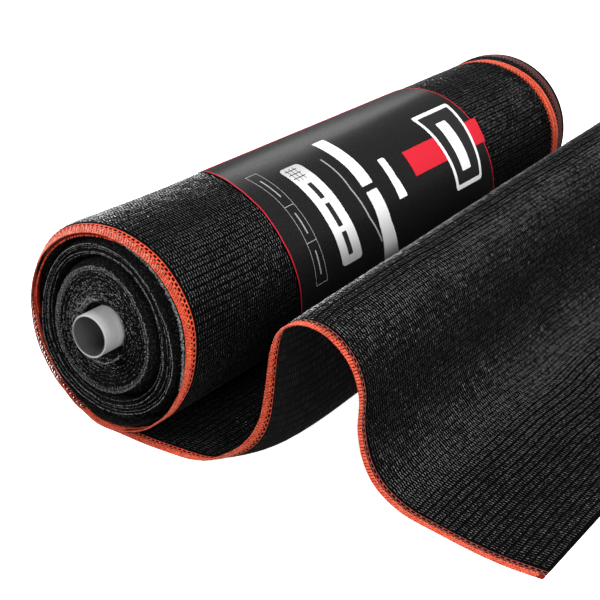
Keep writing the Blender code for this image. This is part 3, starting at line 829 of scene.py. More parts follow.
def make_roll():
    """All the wound turns as one body, with ribs on the outermost turn and the grooves of its ends."""
    stations = 600
    turns = np.arange(stations + 1) / stations
    angles = STEP_ANGLE + 360.0 * turns
    along = (turns - 1.0) * RING_LENGTH
    roll_end = NET_WIDTH + FAR_REACH
    second_end = NET_WIDTH + SECOND_BAND_REACH + GAP
    inner_start = NET_WIDTH + INNER_BAND_START - GAP
    columns, uvs = [], []

    def put(points, across, weave=along):
        """One more line round the roll, from the core's hole over the near face to the far one."""
        columns.append(points)
        uvs.append(np.stack([np.broadcast_to(across, weave.shape), weave], axis=1))

    for y in (roll_end - FAR_FACE[0][1] * MM, BORE_SLOT_LENGTH, 20 * MM, NEAR_FACE[0][1] * MM):
        put(bore_xyz(angles, y), y)
    pit = smoothstep(1.0 - np.abs((angles % 360.0) - PIT_ANGLE) / PIT_HALF) * PIT_DEPTH * MM
    for share, depth in profile(NEAR_FACE, 2):
        put(near_xyz(share, angles, depth + pit * smoothstep((PIT_SHARE - share) / 0.06)), depth)
    put(face_xyz(LIP_SHARE, angles, CLOTH_START), CLOTH_START)
    first = len(columns)
    for y in (CLOTH_START, 18 * MM, 22 * MM, 26 * MM, *(np.arange(30, 960, 18.6) * MM), CLOTH_END):
        weave, groove = ribbed(along, y)
        put(roll_xyz(angles, turns, y, GROOVE * groove + roll_dip(along, y)), y, weave)
    last = len(columns) - 1
    second_groove = SECOND_BAND_IN + LAYER + TUCK_LIFT
    for inset, y in (
        (second_groove, CLOTH_END), (second_groove, second_end), (INNER_BAND_IN, second_end),
        (INNER_BAND_IN, mix(second_end, inner_start, 0.5)), (INNER_BAND_IN, inner_start),
        (INNER_BAND_IN + LAYER, inner_start), (INNER_BAND_IN + LAYER, roll_end),
    ):
        put(roll_xyz(angles, 1.0, y, inset), y)
    for share, depth in reversed(profile(FAR_FACE, 3)):
        put(face_xyz(share, angles, roll_end - depth), roll_end - depth)
    grid = np.array(columns)
    count = len(columns)
    verts = list(grid[:, :-1].transpose(1, 0, 2).reshape(-1, 3))
    weave_map = list(np.array(uvs)[:, :-1].transpose(1, 0, 2).reshape(-1, 2))
    # the outermost turn ends one layer further out than it starts, so it has end points of its own
    final = list(range(count))
    for j in range(first, last + 1):
        final[j] = len(verts)
        verts.append(grid[j, -1])
        weave_map.append(uvs[j][-1])
    faces, kinds = [], []
    for i in range(stations):
        closing = i == stations - 1
        here = range(i * count, i * count + count)
        ahead = final if closing else range((i + 1) * count, (i + 2) * count)
        for j in range(count):
            k = (j + 1) % count
            # the faces beside the step take in its corner too
            corner = {first - 1: [k], last: [j]}.get(j, []) if closing else []
            faces.append([here[j], here[k], ahead[k], *corner, ahead[j]])
            kinds.append(0 if first <= j < last else 1)
    faces += [[j, final[j], final[j + 1], j + 1] for j in range(first, last)]
    kinds += [0] * (last - first)
    piece = add_piece("net_roll", verts, faces, [GROUND, TURNS], weave_map, 40.0, kinds)
    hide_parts("wound_roll")


def near_xyz(share, angle, depth):
    """Points of the near face, whose inner turns lie off centre, low on its left."""
    share, angle = arrays(share, angle)
    parts = np.fft.rfft(OFF_CENTRE, axis=1) / OFF_CENTRE.shape[1] * np.array([1.0, 2.0, 2.0, 2.0, 1.0])
    wave = np.exp(1j * np.radians(angle)[..., None] * np.arange(5))
    row = np.interp(share, OFF_SHARES, np.arange(len(OFF_SHARES)))
    low = np.minimum(row.astype(int), len(OFF_SHARES) - 2)
    mixed = mix(parts[low], parts[low + 1], (row - low)[..., None])
    return face_xyz(share + np.sum(mixed * wave, axis=-1).real, angle, depth)


def outward(points):
    """The way out from the core's axis at each point."""
    out = points - CORE_MIDDLE
    out[:, 1] = 0.0
    return unit(out)


def turn_edge(shares, angles, depths, thickness, reach):
    """The edge of wound turns, as a rounded wall out of the near face, its thickness and reach in mm."""
    half = thickness * MM / 2.0 / BODY_R
    shoulder = 0.35 * thickness * MM
    outline = (
        (-1.0, reach * MM), (-1.0, shoulder), (-0.35, 0.0), (0.35, 0.0), (1.0, shoulder), (1.0, reach * MM),
    )
    outer = np.stack(
        [near_xyz(shares + side * half, angles, depths + back) for side, back in outline], axis=1)
    count, width = outer.shape[:2]
    faces = grid_faces(count, width, closed=True)
    faces += [list(range(width)), list(range((count - 1) * width, count * width))]
    return outer.reshape(-1, 3), faces


def dished(angles, least, more, middle, half, power=4):
    """Depths in metres along an edge that goes in towards both its ends."""
    return (least + more * (np.abs(angles - middle) / half) ** power) * MM


def fibres(shares, angles, depths, spread, length, pick, lean):
    """Short fibres along a turn's edge, whose pale colour is painted highlight."""
    count = len(angles)
    off = pick.normal(0.0, spread, count)
    at = near_xyz(shares + off, angles, depths + pick.uniform(-0.6, 0.4, count) * MM)
    along = unit(near_xyz(shares, angles + 1.0, depths) - near_xyz(shares, angles, depths))
    turn = pick.normal(0.0, lean, count)[:, None]
    way = along * np.cos(turn) + outward(at) * np.sin(turn)
    way[:, 1] += pick.normal(-0.12, 0.2, count)
    size = (length * MM * pick.uniform(0.6, 1.3, count))[:, None]
    return spindles(at - way * size / 2.0, at + way * size / 2.0, FRONT, 0.55 * MM, 0.5 * MM)


def chain(shares, angles, depths, stitch, width, pick):
    """A knitted edge's stitches, one after the other and leaning in turn, along a curve on the near face."""
    points = near_xyz(shares, angles, depths)
    count = int(distances(points)[-1] / (stitch * MM))
    middle = (np.arange(count) + 0.5) * (stitch * MM)

    def at(distance, off):
        base = at_distances(points, distance)
        return base + outward(base) * off[:, None]

    kept = pick.uniform(0.0, 1.0, count) < 0.86
    reach = stitch * MM * pick.uniform(0.42, 0.62, count)
    lean = pick.normal(0.32, 0.22, count) * MM
    drop = pick.uniform(-0.7, 0.1, count) * MM
    start, end = at(middle - reach, -lean), at(middle + reach, lean)
    start[:, 1] += drop
    end[:, 1] += drop
    size = width * MM * pick.uniform(0.7, 1.25, count)
    return spindles(start[kept], end[kept], FRONT, size[kept], 0.8 * size[kept])


def make_near_turns():
    """The edges of the wound turns on the near face, with their stitches and fibres."""
    pick = np.random.default_rng(21)
    walls, tufts, lines = [], [], []

    def add_turn(steps, ends, shares, depths, wall, where, scatter, size, lean, stitch, wide):
        """One turn's edge: its wall, its fibres at the steps where, and a chain of stitches along it."""
        angles = mix(*ends, steps)
        walls.append(turn_edge(shares, angles, depths, *wall))
        tufts.append(fibres(
            np.interp(where, steps, shares), mix(*ends, where), np.interp(where, steps, depths),
            scatter, size, pick, lean))
        lines.append(chain(shares, angles, depths, stitch, wide, pick))

    # the disc of inner turns, as one spiral
    pitch = 4.3 * MM / BODY_R
    first, last = 0.275, 0.578
    total = (last - first) / pitch
    turn = np.linspace(0.0, total, int(total * 220))
    angles = -60.0 + 360.0 * turn
    crumple = 0.0045 + 0.006 * (1.0 - turn / total) ** 2
    shares = first + pitch * turn + crumple * wander(turn * 0.7, 31, (0.11, 0.31, 0.8))
    depths = (1.2 + 3.4 * (turn / total) ** 3 + wander(turn, 32, (0.13, 0.33, 0.9))) * MM
    walls.append(turn_edge(shares, angles, depths, 1.8, 9.0))
    extent = np.sum(np.abs(np.diff(angles)) / DEGREES * shares[1:] * BODY_R)
    for line, size in ((-0.8, 2.2), (0.1, 2.8), (0.8, 2.2)):
        where = np.sort(pick.uniform(0.0, total, int(extent / (2.1 * MM))))
        left = 0.5 + 0.5 * np.cos(np.radians(360.0 * where - 60.0 - 165.0))
        outer = np.clip((where / total - 0.78) / 0.22, 0.0, 1.0)
        where = where[pick.uniform(0.0, 1.0, len(where)) < 0.12 + 0.5 * left + 0.4 * outer]
        tufts.append(fibres(
            np.interp(where, turn, shares) + line * MM / BODY_R, -60.0 + 360.0 * where,
            np.interp(where, turn, depths) + 0.3 * abs(line) * MM, 0.0020, size, pick, 0.35))
    # the turns outside the disc: share, depth, thickness, how full of fibres, their length (mm), their
    # scatter, width of the chain (mm)
    steps = np.linspace(0.0, 1.0, 300)
    for number, (share, depth, thickness, full, size, scatter, wide) in enumerate((
        (0.588, 4.2, 3.4, 0.9, 2.4, 0.0075, 0.7), (0.706, 9.5, 1.3, 0.25, 2.2, 0.003, 0.4),
        (0.748, 6.5, 1.6, 0.4, 2.2, 0.003, 1.0), (0.778, 9.0, 1.3, 0.3, 2.2, 0.003, 0.45),
        (0.806, 8.0, 1.3, 0.3, 2.2, 0.0025, 0.55), (0.830, 5.6, 1.5, 0.5, 2.2, 0.0022, 1.15),
    )):
        where = np.sort(pick.uniform(0.0, 1.0, int(2.0 * math.pi * share * BODY_R / (1.5 * MM) * full)))
        add_turn(
            steps, (-120.0, 242.0),
            share + 0.0042 * wander(steps, 50 + number, (0.12, 0.35, 0.8)) + 0.004 * (steps - 0.5),
            (depth + 0.9 * wander(steps, 70 + number, (0.08, 0.16, 0.5))) * MM,
            (thickness, 12.0), where, scatter, size, 0.5, 3.1, wide)
    # the disc's edge: loops that stand across it
    count = 250
    angles = np.linspace(-150.0, 209.0, count)
    for share, reach in ((0.578, 0.012), (0.556, 0.009)):
        low = near_xyz(share - reach + pick.normal(0.0, 0.002, count), angles, 4.4 * MM)
        shares = share + reach + pick.normal(0.0, 0.002, count)
        high = near_xyz(shares, angles + pick.normal(0.4, 0.3, count), 3.6 * MM)
        lines.append(spindles(low, high, FRONT, 0.6 * MM, 0.6 * MM))
    # a loose flap of the innermost turn under the tube, and kinked ones above it on the left: the angles
    # and shares of their ends, depth in mm, swing
    steps = np.linspace(0.0, 1.0, 160)
    for number, (low, high, first, last, depth, swing) in enumerate((
        (-138.0, -52.0, 0.385, 0.292, -0.4, 0.003), (104.0, 196.0, 0.286, 0.330, 0.2, 0.010),
        (112.0, 200.0, 0.306, 0.372, 0.8, 0.012), (120.0, 204.0, 0.330, 0.420, 1.0, 0.012),
    )):
        add_turn(
            steps, (low, high), mix(first, last, steps) + swing * wander(steps, 90 + number, (0.17, 0.4)),
            (depth + 0.7 * wander(steps, 95 + number, (0.12, 0.3))) * MM,
            (1.6, 7.0), pick.uniform(0.0, 1.0, 110), 0.006, 3.0, 0.7, 2.8, 1.5)
    # short crumpled fibres on the left of the tube
    count = 360
    where = pick.normal(165.0, 42.0, count)
    shares = pick.uniform(0.28, 0.46, count)
    tufts.append(fibres(shares, where, pick.uniform(0.6, 1.8, count) * MM, 0.004, 2.6, pick, 1.2))
    # edges inside the rim, at the upper right and the lower left
    right, left = np.linspace(-34.0, 96.0, 220), np.linspace(188.0, 302.0, 160)
    depths = dished(right, 1.0, 9.0, 31.0, 65.0)
    walls.append(turn_edge(0.970, right, depths, 1.6, 14.0))
    walls.append(turn_edge(0.952, left, dished(left, 5.0, 7.0, 245.0, 57.0), 2.0, 12.0))
    # tufts on the upper right one, pale with painted highlight
    count = 640
    angles = pick.uniform(-28.0, 90.0, count)
    depth = np.interp(angles, right, depths)
    base = near_xyz(0.980, angles, depth + 0.2 * MM)
    tip = near_xyz(0.980 - pick.uniform(0.012, 0.034, count), angles + pick.normal(0.0, 0.7, count), depth)
    tip[:, 1] -= pick.uniform(-0.6, 0.6, count) * MM
    tufts.append(spindles(base, tip, FRONT, 0.8 * MM, 0.7 * MM))
    for name, parts, surface, sharp in (
        ("near_turn_edges", walls, TURNS, 50.0), ("near_turn_fibres", tufts, FIBRES, None),
        ("near_turn_chains", lines, CHAINS, None),
    ):
        verts, faces, _ = join(parts)
        add_piece(name, verts, faces, surface, sharp=sharp)


# ---------------------------------------------------------------- the loose end

TAIL_ROWS = np.concatenate([
    [0, 4, 8, 12, 15.3, 20, 27, 36, 48, 62, 80, 105], np.arange(135, 860, 30),
    [885, 910, 928, 942, 954, 963, 970, 974.7, 978, 982, 986, 990],
]) * MM


def make_tail():
    """The loose end's netting: one ribbed sheet, and its stitches."""
    cloth = Cloth(TAIL_ROWS, [tail_path(y) for y in TAIL_ROWS], 1.2 * MM)
    inner = TAIL_ROWS[(TAIL_ROWS > CLOTH_START + 1 * MM) & (TAIL_ROWS < CLOTH_END - 1 * MM)]
    rows = np.concatenate([[CLOTH_START], inner, [CLOTH_END]])
    columns = np.linspace(6 * MM, cloth.length, 540)

    def softness(along, across):
        """How far the cloth stands off its even fold."""
        free = smoothstep((along - 0.10) / 0.08) * smoothstep((cloth.length - along) / 0.05)
        return 0.9 * MM * waves(along, across, 8, (0.12, 0.21, 0.35)) * free * within(across, 25 * MM)

    along, across = np.meshgrid(columns, rows)
    weave, groove = ribbed(along, across)
    soft = softness(along, across)
    below, _ = cloth.at(along, across, soft + GROOVE * groove)
    above, _ = cloth.at(along, across, soft + NET_T - GROOVE * groove)
    below[..., 2] = np.maximum(below[..., 2], 0.0)
    verts, faces = closed_sheet(above, below)
    uv = np.stack([across, weave], axis=-1).reshape(-1, 2)
    upper = (len(rows) - 1) * (len(columns) - 1)
    piece = add_piece(
        "net_tail_cloth", verts, faces, [NETTING, GROUND], np.concatenate([uv, uv]), 60.0,
        [1] * upper + [0] * (len(faces) - upper))
    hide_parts("net_tail")

    def put(along, across, lift):
        points, _ = cloth.at(along, across, softness(along, across) + NET_T + lift)
        points[..., 2] = np.maximum(points[..., 2], 0.2 * MM)
        return points

    def paired(along, across):
        _, normal = cloth.at(along, across)
        return smoothstep((normal[..., 2] - 0.90) / 0.08)

    along, across, length = stitch_places(0.06, cloth.length - 0.003, paired, 63)
    verts, faces = stitch_bars(put, along, across, length, 64)
    stitches = add_piece("net_tail_stitches", verts, faces, YARN)
    round_bars(stitches)
    return piece, stitches


# ---------------------------------------------------------------- knitted bindings

def pierced(cloth, marks, rows, solid, low, high):
    """A closed thin ground of cells between marks along and rows across, without the open cells."""
    along, across = np.meshgrid(marks, rows, indexing="ij")
    top, _ = cloth.at(along, across, high)
    bottom, _ = cloth.at(along, across, low)
    columns, width = along.shape
    index = np.arange(columns * width).reshape(columns, width)
    count = columns * width
    filled = np.zeros((columns + 1, width + 1), bool)
    filled[1:columns, 1:width] = solid
    faces, lanes = [], []
    for i, j in zip(*np.nonzero(solid)):
        a, b, c, d = (int(v) for v in (index[i, j], index[i + 1, j], index[i + 1, j + 1], index[i, j + 1]))
        made = [[a, b, c, d], [d + count, c + count, b + count, a + count]]
        for beside, p, q in (
            (filled[i + 1, j], a, b), (filled[i + 2, j + 1], b, c),
            (filled[i + 1, j + 2], c, d), (filled[i, j + 1], d, a),
        ):
            if not beside:
                made.append([p, p + count, q + count, q])
        faces += made
        lanes += [int(j)] * len(made)
    verts = np.concatenate([top.reshape(-1, 3), bottom.reshape(-1, 3)])
    used = np.unique(np.concatenate([np.asarray(f) for f in faces]))
    renumber = np.full(len(verts), -1)
    renumber[used] = np.arange(len(used))
    return verts[used], [[int(renumber[v]) for v in face] for face in faces], np.array(lanes)


HOLE_PITCH = 6.8 * MM
LOOP_PITCH = 3.75 * MM
EDGING_PITCH = 3.2 * MM
BAND_MIDDLE = 0.8 * MM
# Across the band and along one repeat, in mm: the edges of the ground's cells, and which cells are there
BAND_LANES = np.array([0.4, 2.2, 6.2, 7.4, 10.0, 10.6, 14.2, 14.95])
BAND_MARKS = np.array([0.0, 1.1, 1.7, 3.4, 5.1, 5.7])
SMALL_HOLES = (True, True, False, False, True, True)
LARGE_HOLES = (False, True, True, True, True, False)
RUNGS = (True, False, False, True, False, False)
LOOP_MIDDLES = (1.6, 4.0, 6.4)
LOOP_SIZE = (3.3, 2.4)
LOOP_SIDES = 6
# Strands of one repeat, in mm: from (along, across) to (along, across), width, height, and its kind
EDGING = [(0.0, 0.1, 1.7, 0.9, 0.9, 1.3, 0), (1.5, 0.9, 3.2, 0.1, 0.9, 1.3, 0)]
LATTICE = [
    (0.0, 10.2, 3.6, 10.6, 0.7, 1.4, 1), (3.4, 10.6, 7.0, 10.2, 0.7, 1.4, 1),
    (5.2, 14.2, 7.7, 10.5, 0.6, 1.1, 1),
    (0.0, 14.3, 3.6, 14.7, 0.7, 1.2, 1), (3.4, 14.7, 7.0, 14.3, 0.7, 1.2, 1),
]
OPEN_LATTICE = [
    (0.0, 1.9, 2.6, 10.4, 1.7, 1.1, 1), (3.4, 1.9, 6.0, 10.4, 1.7, 1.1, 2), (3.2, 2.2, 0.6, 10.2, 1.2, 1.0, 2),
    (0.0, 1.3, 3.6, 1.6, 2.2, 1.6, 0), (3.4, 1.6, 7.0, 1.3, 2.2, 1.6, 0),
    (0.0, 11.2, 3.6, 12.0, 1.2, 1.3, 1), (3.4, 12.0, 7.0, 11.2, 1.2, 1.3, 1),
]


def strands(cloth, repeats, table, across, swell, pick, dull_from):
    """One spindle for each line of the table at each repeat along a band."""
    parts = []
    count = len(repeats)
    for u0, v0, u1, v1, wide, high, kind in table if count else ():
        shift = pick.normal(0.0, 0.13 * MM, (4, count))
        lift = BAND_MIDDLE + 0.10 * MM * pick.normal(0.0, 1.0, count)
        a, n = cloth.at(repeats + u0 * MM + shift[0], across(v0) + shift[1], lift)
        b, _ = cloth.at(repeats + u1 * MM + shift[2], across(v1) + shift[3], lift)
        points, faces = spindles(a, b, n, wide * MM * pick.uniform(0.85, 1.12, count) * swell, high * MM)
        owner = np.array([face[0] // SPINDLE_POINTS for face in faces])
        parts.append((points, faces, np.where((repeats[owner] > dull_from) & (kind == 1), 3, kind)))
    return parts


def loops(cloth, middles, across, column, swell, side, pick):
    """Round knitted loops, open in the middle, on the upper (1) or under side (-1) of a band's ground."""
    count = len(middles)
    turn = 2.0 * math.pi * np.arange(LOOP_SIDES) / LOOP_SIDES
    long, wide = (size * MM / 2.0 * pick.uniform(0.90, 1.10, (count, 1, 1)) for size in LOOP_SIZE)
    ring = np.array([0.56, 0.80, 1.0])[None, :, None]
    height = (np.array([0.1, 1.2, 0.1]) * MM)[None, :, None] + pick.normal(0.0, 0.12 * MM, (count, 1, 1))
    u = middles[:, None, None] + ring * long * np.cos(turn) + pick.normal(0.0, 0.12 * MM, (count, 1, 1))
    v = across(column) + ring * wide * swell * np.sin(turn) + 0.25 * ring * long * np.cos(turn)
    points, _ = cloth.at(u, v, BAND_MIDDLE + side * height)
    quads = np.array(grid_faces(3, LOOP_SIDES, closed=True))
    quads = quads + 3 * LOOP_SIDES * np.arange(count)[:, None, None]
    return points.reshape(-1, 3), quads.reshape(-1, 4)[:, ::side].tolist()


def seed_of(name):
    """A number for a piece's own random draws."""
    return sum((k + 1) * ord(letter) for k, letter in enumerate(name))


def knit_band(name, node, cloth, start, outward, surfaces, begin, end, width=BAND_WIDTH, backed_from=NEVER,
              dull_from=NEVER, open_parts=(), extra=(), outer_until=0.0, inner_from=0.0,
              tucked_until=-NEVER, pale=(NEVER, 1.0, NEVER)):
    """A knitted binding: columns of loops on a thin ground, two rows of eyelets and a thin chain.

    outward is 1 where the free edge is at the low side of the band, and -1 where it is at the high side.
    The eyelets have a dark sheet of the netting's ground behind them from backed_from on, painted shade for the
    shadow under and behind the band, and that part is duller from dull_from on. In the open parts the loops are
    drawn out to a see-through lattice. The loops stand on the roll's outer side up to outer_until, on the upper
    side up to tucked_until and from inner_from on, and on both where the loose end rises. pale says where the
    loops begin to take a pale colour, a painted highlight, over what length all of them do so, and where that
    ends.
    """
    pick = np.random.default_rng(seed_of(name))
    share = width / BAND_WIDTH

    def across(distance):
        distance = np.asarray(distance) * MM * share
        return start + distance if outward > 0 else start + width - distance

    def opened(along):
        within_parts = [(along > first) & (along < last) for first, last in open_parts]
        return np.any(within_parts, axis=0) if within_parts else np.zeros(np.shape(along), bool)

    number = int((end - begin) / HOLE_PITCH)
    step = (end - begin) / number
    marks = (begin + step * (np.arange(number)[:, None] + BAND_MARKS[None, :] * MM / HOLE_PITCH)).ravel()
    marks = np.append(marks, end)
    solid = np.ones((len(marks) - 1, len(BAND_LANES) - 1), bool)
    solid[np.tile(SMALL_HOLES, number), 3] = False
    solid[np.tile(LARGE_HOLES, number), 5] = False
    lattice = np.repeat(opened(begin + step * (np.arange(number) + 0.5)), len(BAND_MARKS))
    solid[lattice, 3:6] = True
    solid[lattice, 1:4] = np.tile(RUNGS, number)[lattice, None]
    rows = across(BAND_LANES)
    lane_kinds = np.array([2, 2, 2, 1, 1, 1, 1])
    if outward < 0:
        rows, solid, lane_kinds = rows[::-1], solid[:, ::-1], lane_kinds[::-1]
    first_dull = int(np.searchsorted(marks, dull_from)) // len(BAND_MARKS) * len(BAND_MARKS)
    parts = list(extra)
    for first, last, dull in ((0, first_dull, False), (first_dull, len(marks) - 1, True)):
        if last > first:
            points, faces, lanes = pierced(
                cloth, marks[first:last + 1], rows, solid[first:last], 0.45 * MM, 1.15 * MM)
            kinds = lane_kinds[lanes]
            parts.append((points, faces, np.where(dull & (kinds == 1), 3, kinds)))
    # painted shade: a dark sheet in the netting's ground material behind the eyelets, for the shadow under and
    # behind the band
    if backed_from < end:
        first = max(begin, backed_from)
        along = np.linspace(first, end, max(2, int((end - first) / (4 * MM))))
        along, y = np.meshgrid(along, across(np.linspace(8.4, 14.8, 3)))
        parts.append((*closed_sheet(cloth.at(along, y, 1.05 * MM)[0], cloth.at(along, y, 0.6 * MM)[0]), 4))
    swell = max(share, 0.8)
    repeats = begin + step * np.arange(number - 1) + 0.3 * MM
    parts += strands(cloth, repeats[~opened(repeats)], LATTICE, across, swell, pick, dull_from)
    parts += strands(cloth, repeats[opened(repeats)], OPEN_LATTICE, across, swell, pick, NEVER)
    reach = end - begin - 6 * MM
    for number, column in enumerate(LOOP_MIDDLES):
        middles = begin + 3.0 * MM + LOOP_PITCH * (np.arange(int(reach / LOOP_PITCH)) + 0.5 * (number % 2))
        middles = middles[~opened(middles)]
        _, normal = cloth.at(middles, across(column), 0.0)
        rises = (middles > 0.0) & (normal[..., 0] < -0.25)
        for side, kept in (
            (1, (middles > inner_from) | (middles < tucked_until)), (-1, (middles < outer_until) | rises),
        ):
            if kept.any():
                here = middles[kept]
                points, faces = loops(cloth, here, across, column, swell, side, pick)
                # painted highlight: from pale[0] on, loops take the pale material at random, more of them further
                # on
                chance = smoothstep((here - pale[0]) / pale[1]) * (here < pale[2])
                kinds = np.where(pick.uniform(0.0, 1.0, len(here)) < chance, 5, 0)
                parts.append((points, faces, np.repeat(kinds, 2 * LOOP_SIDES)))
    edging = begin + 0.3 * MM + EDGING_PITCH * np.arange(int(reach / EDGING_PITCH))
    parts += strands(cloth, edging, EDGING, across, swell, pick, NEVER)
    verts, faces, kinds = join(parts)
    verts[:, 2] = np.maximum(verts[:, 2], 0.0)
    piece = add_piece(name, verts, faces, surfaces, kinds=kinds)
    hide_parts(node)
    return piece


def band_cloth(start, tuck):
    """The cloth of a binding: round the roll and out along the loose end."""
    rows = np.linspace(start, start + BAND_WIDTH, 6)
    # without its first stretch, which lies on the roll where the ring's path ends
    tails = [tail_path(y)[PATH_STEPS:] for y in rows]
    paths = [np.concatenate([ring_path(y, -tuck), tail]) for y, tail in zip(rows, tails)]
    total, out = (np.mean([distances(path)[-1] for path in group]) for group in (paths, tails))
    return Cloth(rows, paths, 1.0 * MM, float(out - total))


def closed_cloth(start, width, inset):
    """The cloth of a binding that goes once round the roll."""
    rows = np.linspace(start, start + width, 4)
    angles = STEP_ANGLE + np.linspace(0.0, 360.0, 721)
    return Cloth(rows, [roll_xyz(angles, 1.0, y, inset) for y in rows], 1.0 * MM)


def make_bindings():
    """The netting's two bound edges, and the two of turns further in that stand out of the far end."""
    near = band_cloth(0.0, TUCK)
    far = band_cloth(NET_WIDTH - BAND_WIDTH, 0.0)
    # the kinds in knit_band: loops, lattice, ground in painted shade, lattice in the dull part, dark netting
    # ground as painted shade behind the eyelets, loops with a painted highlight
    bright = [BINDING, BINDING_OPEN, BINDING_PAINTED_SHADE, BINDING_THIN, GROUND, BINDING_PAINTED_HIGHLIGHT]
    # the inner turn's binding in painted shade
    dull = [BINDING_INNER_SHADED] * 4 + [GROUND]
    ring_per_turn = -near.origin / (1.0 + TUCK)
    tuck_open, tuck_end, highlight_from, inner_from, open_from, open_to, outer_until = [
        ring_per_turn * ((angle - STEP_ANGLE) / 360.0 - 1.0)
        for angle in (-110.0, -80.0, 25.0, 143.0, 148.0, 250.0, 205.0)]
    # the next turn's edge, just inside the outermost one at the upper left, with its streaks; its wall takes the
    # ground's painted shade
    angles = np.linspace(66.0, 186.0, 260)
    depths = dished(angles, 0.8, 11.0, 128.0, 62.0, 6)
    pick = np.random.default_rng(77)
    streak = pick.uniform(68.0, 184.0, 190)
    depth = np.interp(streak, angles, depths) - 0.1 * MM
    tips = near_xyz(0.964, streak + pick.normal(0.0, 0.5, 190), depth)
    next_turn = [
        (*turn_edge(0.953, angles, depths, 2.6, 12.0), 2),
        (*spindles(near_xyz(0.941, streak, depth), tips, FRONT, 0.9 * MM, 0.8 * MM), 1),
    ]
    pieces = [
        knit_band("binding_near_knit", "binding_near", near, 0.0, 1, bright, near.origin,
                  near.origin + near.length, backed_from=-0.02, dull_from=0.42,
                  open_parts=((-NEVER, tuck_open), (open_from, open_to)), extra=next_turn,
                  outer_until=outer_until, inner_from=inner_from, tucked_until=tuck_end,
                  pale=(highlight_from, 0.13 * ring_per_turn, open_from)),
        knit_band("binding_far_knit", "binding_far", far, NET_WIDTH - BAND_WIDTH, -1, bright,
                  far.origin, far.origin + far.length, backed_from=far.origin, dull_from=0.42),
    ]
    for name, node, start, width, inset, surfaces in (
        ("binding_second_knit", "binding_far_second", NET_WIDTH + GAP, SECOND_BAND_REACH - GAP,
         SECOND_BAND_IN, bright),
        ("binding_inner_knit", "binding_far_inner", NET_WIDTH + INNER_BAND_START, INNER_BAND_WIDTH,
         INNER_BAND_IN, dull),
    ):
        cloth = closed_cloth(start, width, inset)
        knit_band(name, node, cloth, start, -1, surfaces, 0.0, cloth.length, width, backed_from=0.0,
                  outer_until=NEVER, inner_from=NEVER)
    return pieces


# ---------------------------------------------------------------- the label

def label_xyz(angle, y, lift):
    """A point on the label: an angle on the roll, a distance along it, and a height above the film's back."""
    return roll_xyz(angle, (angle - STEP_ANGLE) / 360.0, y, -GAP - lift)


def label_swell(angle, y):
    """How far the netting below lifts the film and its printing."""
    return 0.10 * MM * waves(angle / 800.0, y, 3, (0.05, 0.12))


def beside(rows, angle):
    """The near and far sides, in mm, of rows (angle, near, far) at an angle."""
    rows = np.asarray(rows, float)
    return [np.interp(-np.asarray(angle), -rows[:, 0], rows[:, k]) for k in (1, 2)]


def make_label():
    """The label's film, wrapped over the netting."""
    angles = np.linspace(LABEL_TOP_ANGLE, LABEL_BOTTOM_ANGLE, 97)
    low, high = beside(LABEL_ROWS, angles)
    angle, part = np.meshgrid(angles, np.linspace(0.0, 1.0, 35), indexing="ij")
    y = mix(low[:, None], high[:, None], part) * MM
    verts, faces = closed_sheet(label_xyz(angle, y, LABEL_T + label_swell(angle, y)), label_xyz(angle, y, 0.0))
    piece = add_piece("label_print_film", verts, faces, FILM, sharp=50.0)
    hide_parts("label")


def decal(name, rows, surface, level=1, corner=0.0):
    """A printed area on the label. rows are (angle, low y, high y) in mm from top to bottom.

    corner rounds its four corners, in mm. A higher level lies over a lower one.
    """
    rows = np.array(rows, float)
    top, bottom = rows[0, 0], rows[-1, 0]
    height = (top - bottom) / DEGREES * BODY_R / MM
    count = max(24, int(height)) if corner else max(2, int(height / 2.0))
    share = np.linspace(0.0, 1.0, count + 1)
    if corner:
        ends = np.linspace(0, corner / height, 9)
        share = np.unique(np.concatenate([share, ends, 1 - ends]))
    angle = mix(top, bottom, share)
    low, high = beside(rows, angle)
    if corner:
        depth = np.minimum(share, 1.0 - share) * height
        cut = corner - np.sqrt(np.maximum(corner ** 2 - (corner - depth) ** 2, 0.0))
        cut = np.where(depth < corner, cut, 0.0)
        low, high = low + cut, high - cut
    part = np.linspace(0.0, 1.0, max(2, int(np.max(high - low) / 12.0) + 2))[None, :]
    y = mix(low[:, None], high[:, None], part) * MM
    wide = np.broadcast_to(angle[:, None], y.shape)
    base = LABEL_T + (0.05 + 0.12 * level) * MM + label_swell(wide, y)
    verts, faces = closed_sheet(label_xyz(wide, y, base + 0.10 * MM), label_xyz(wide, y, base))
    add_piece(name, verts, faces, surface, sharp=50.0)


def strip(rows, angles, first, last, more=(0.0, 0.0)):
    """Rows for decal at some angles, between two shares of other rows' width, moved by mm."""
    near, far = beside(rows, angles)
    return np.stack([angles, mix(near, far, first) + more[0], mix(near, far, last) + more[1]], axis=1)


def bar(rows, angle, height, *rest):
    """The same for a thin bar across, its height in degrees."""
    made = strip(rows, [angle, angle], *rest)
    made[1, 0] -= height
    return made


def patch_surface():
    """Silvery white patch, greyer towards its upper end, and greyer towards its lower end as painted shade, where
    the roll turns under.
    """
    s = Surface("print_silver", 0.38, 0.5)
    where = s.place()
    z = s.parts(where)[2]
    grain = s.noise(where, 300.0, 2.0)
    tone = s.blend(s.ease(z, 0.262, 0.235), (0.42, 0.42, 0.43), (0.86, 0.86, 0.87))
    # painted shade: greyer towards the lower end, below a height of 0.20 m
    tone = s.blend(s.ease(z, 0.20, 0.13), tone, (0.50, 0.50, 0.51))
    s.colour(s.blend(s.ease(grain, 0.3, 0.7, 0.0, 0.12), tone, (0.6, 0.6, 0.6)))
    s.bump(grain, 0.1 * MM, 0.2)
    return s.material


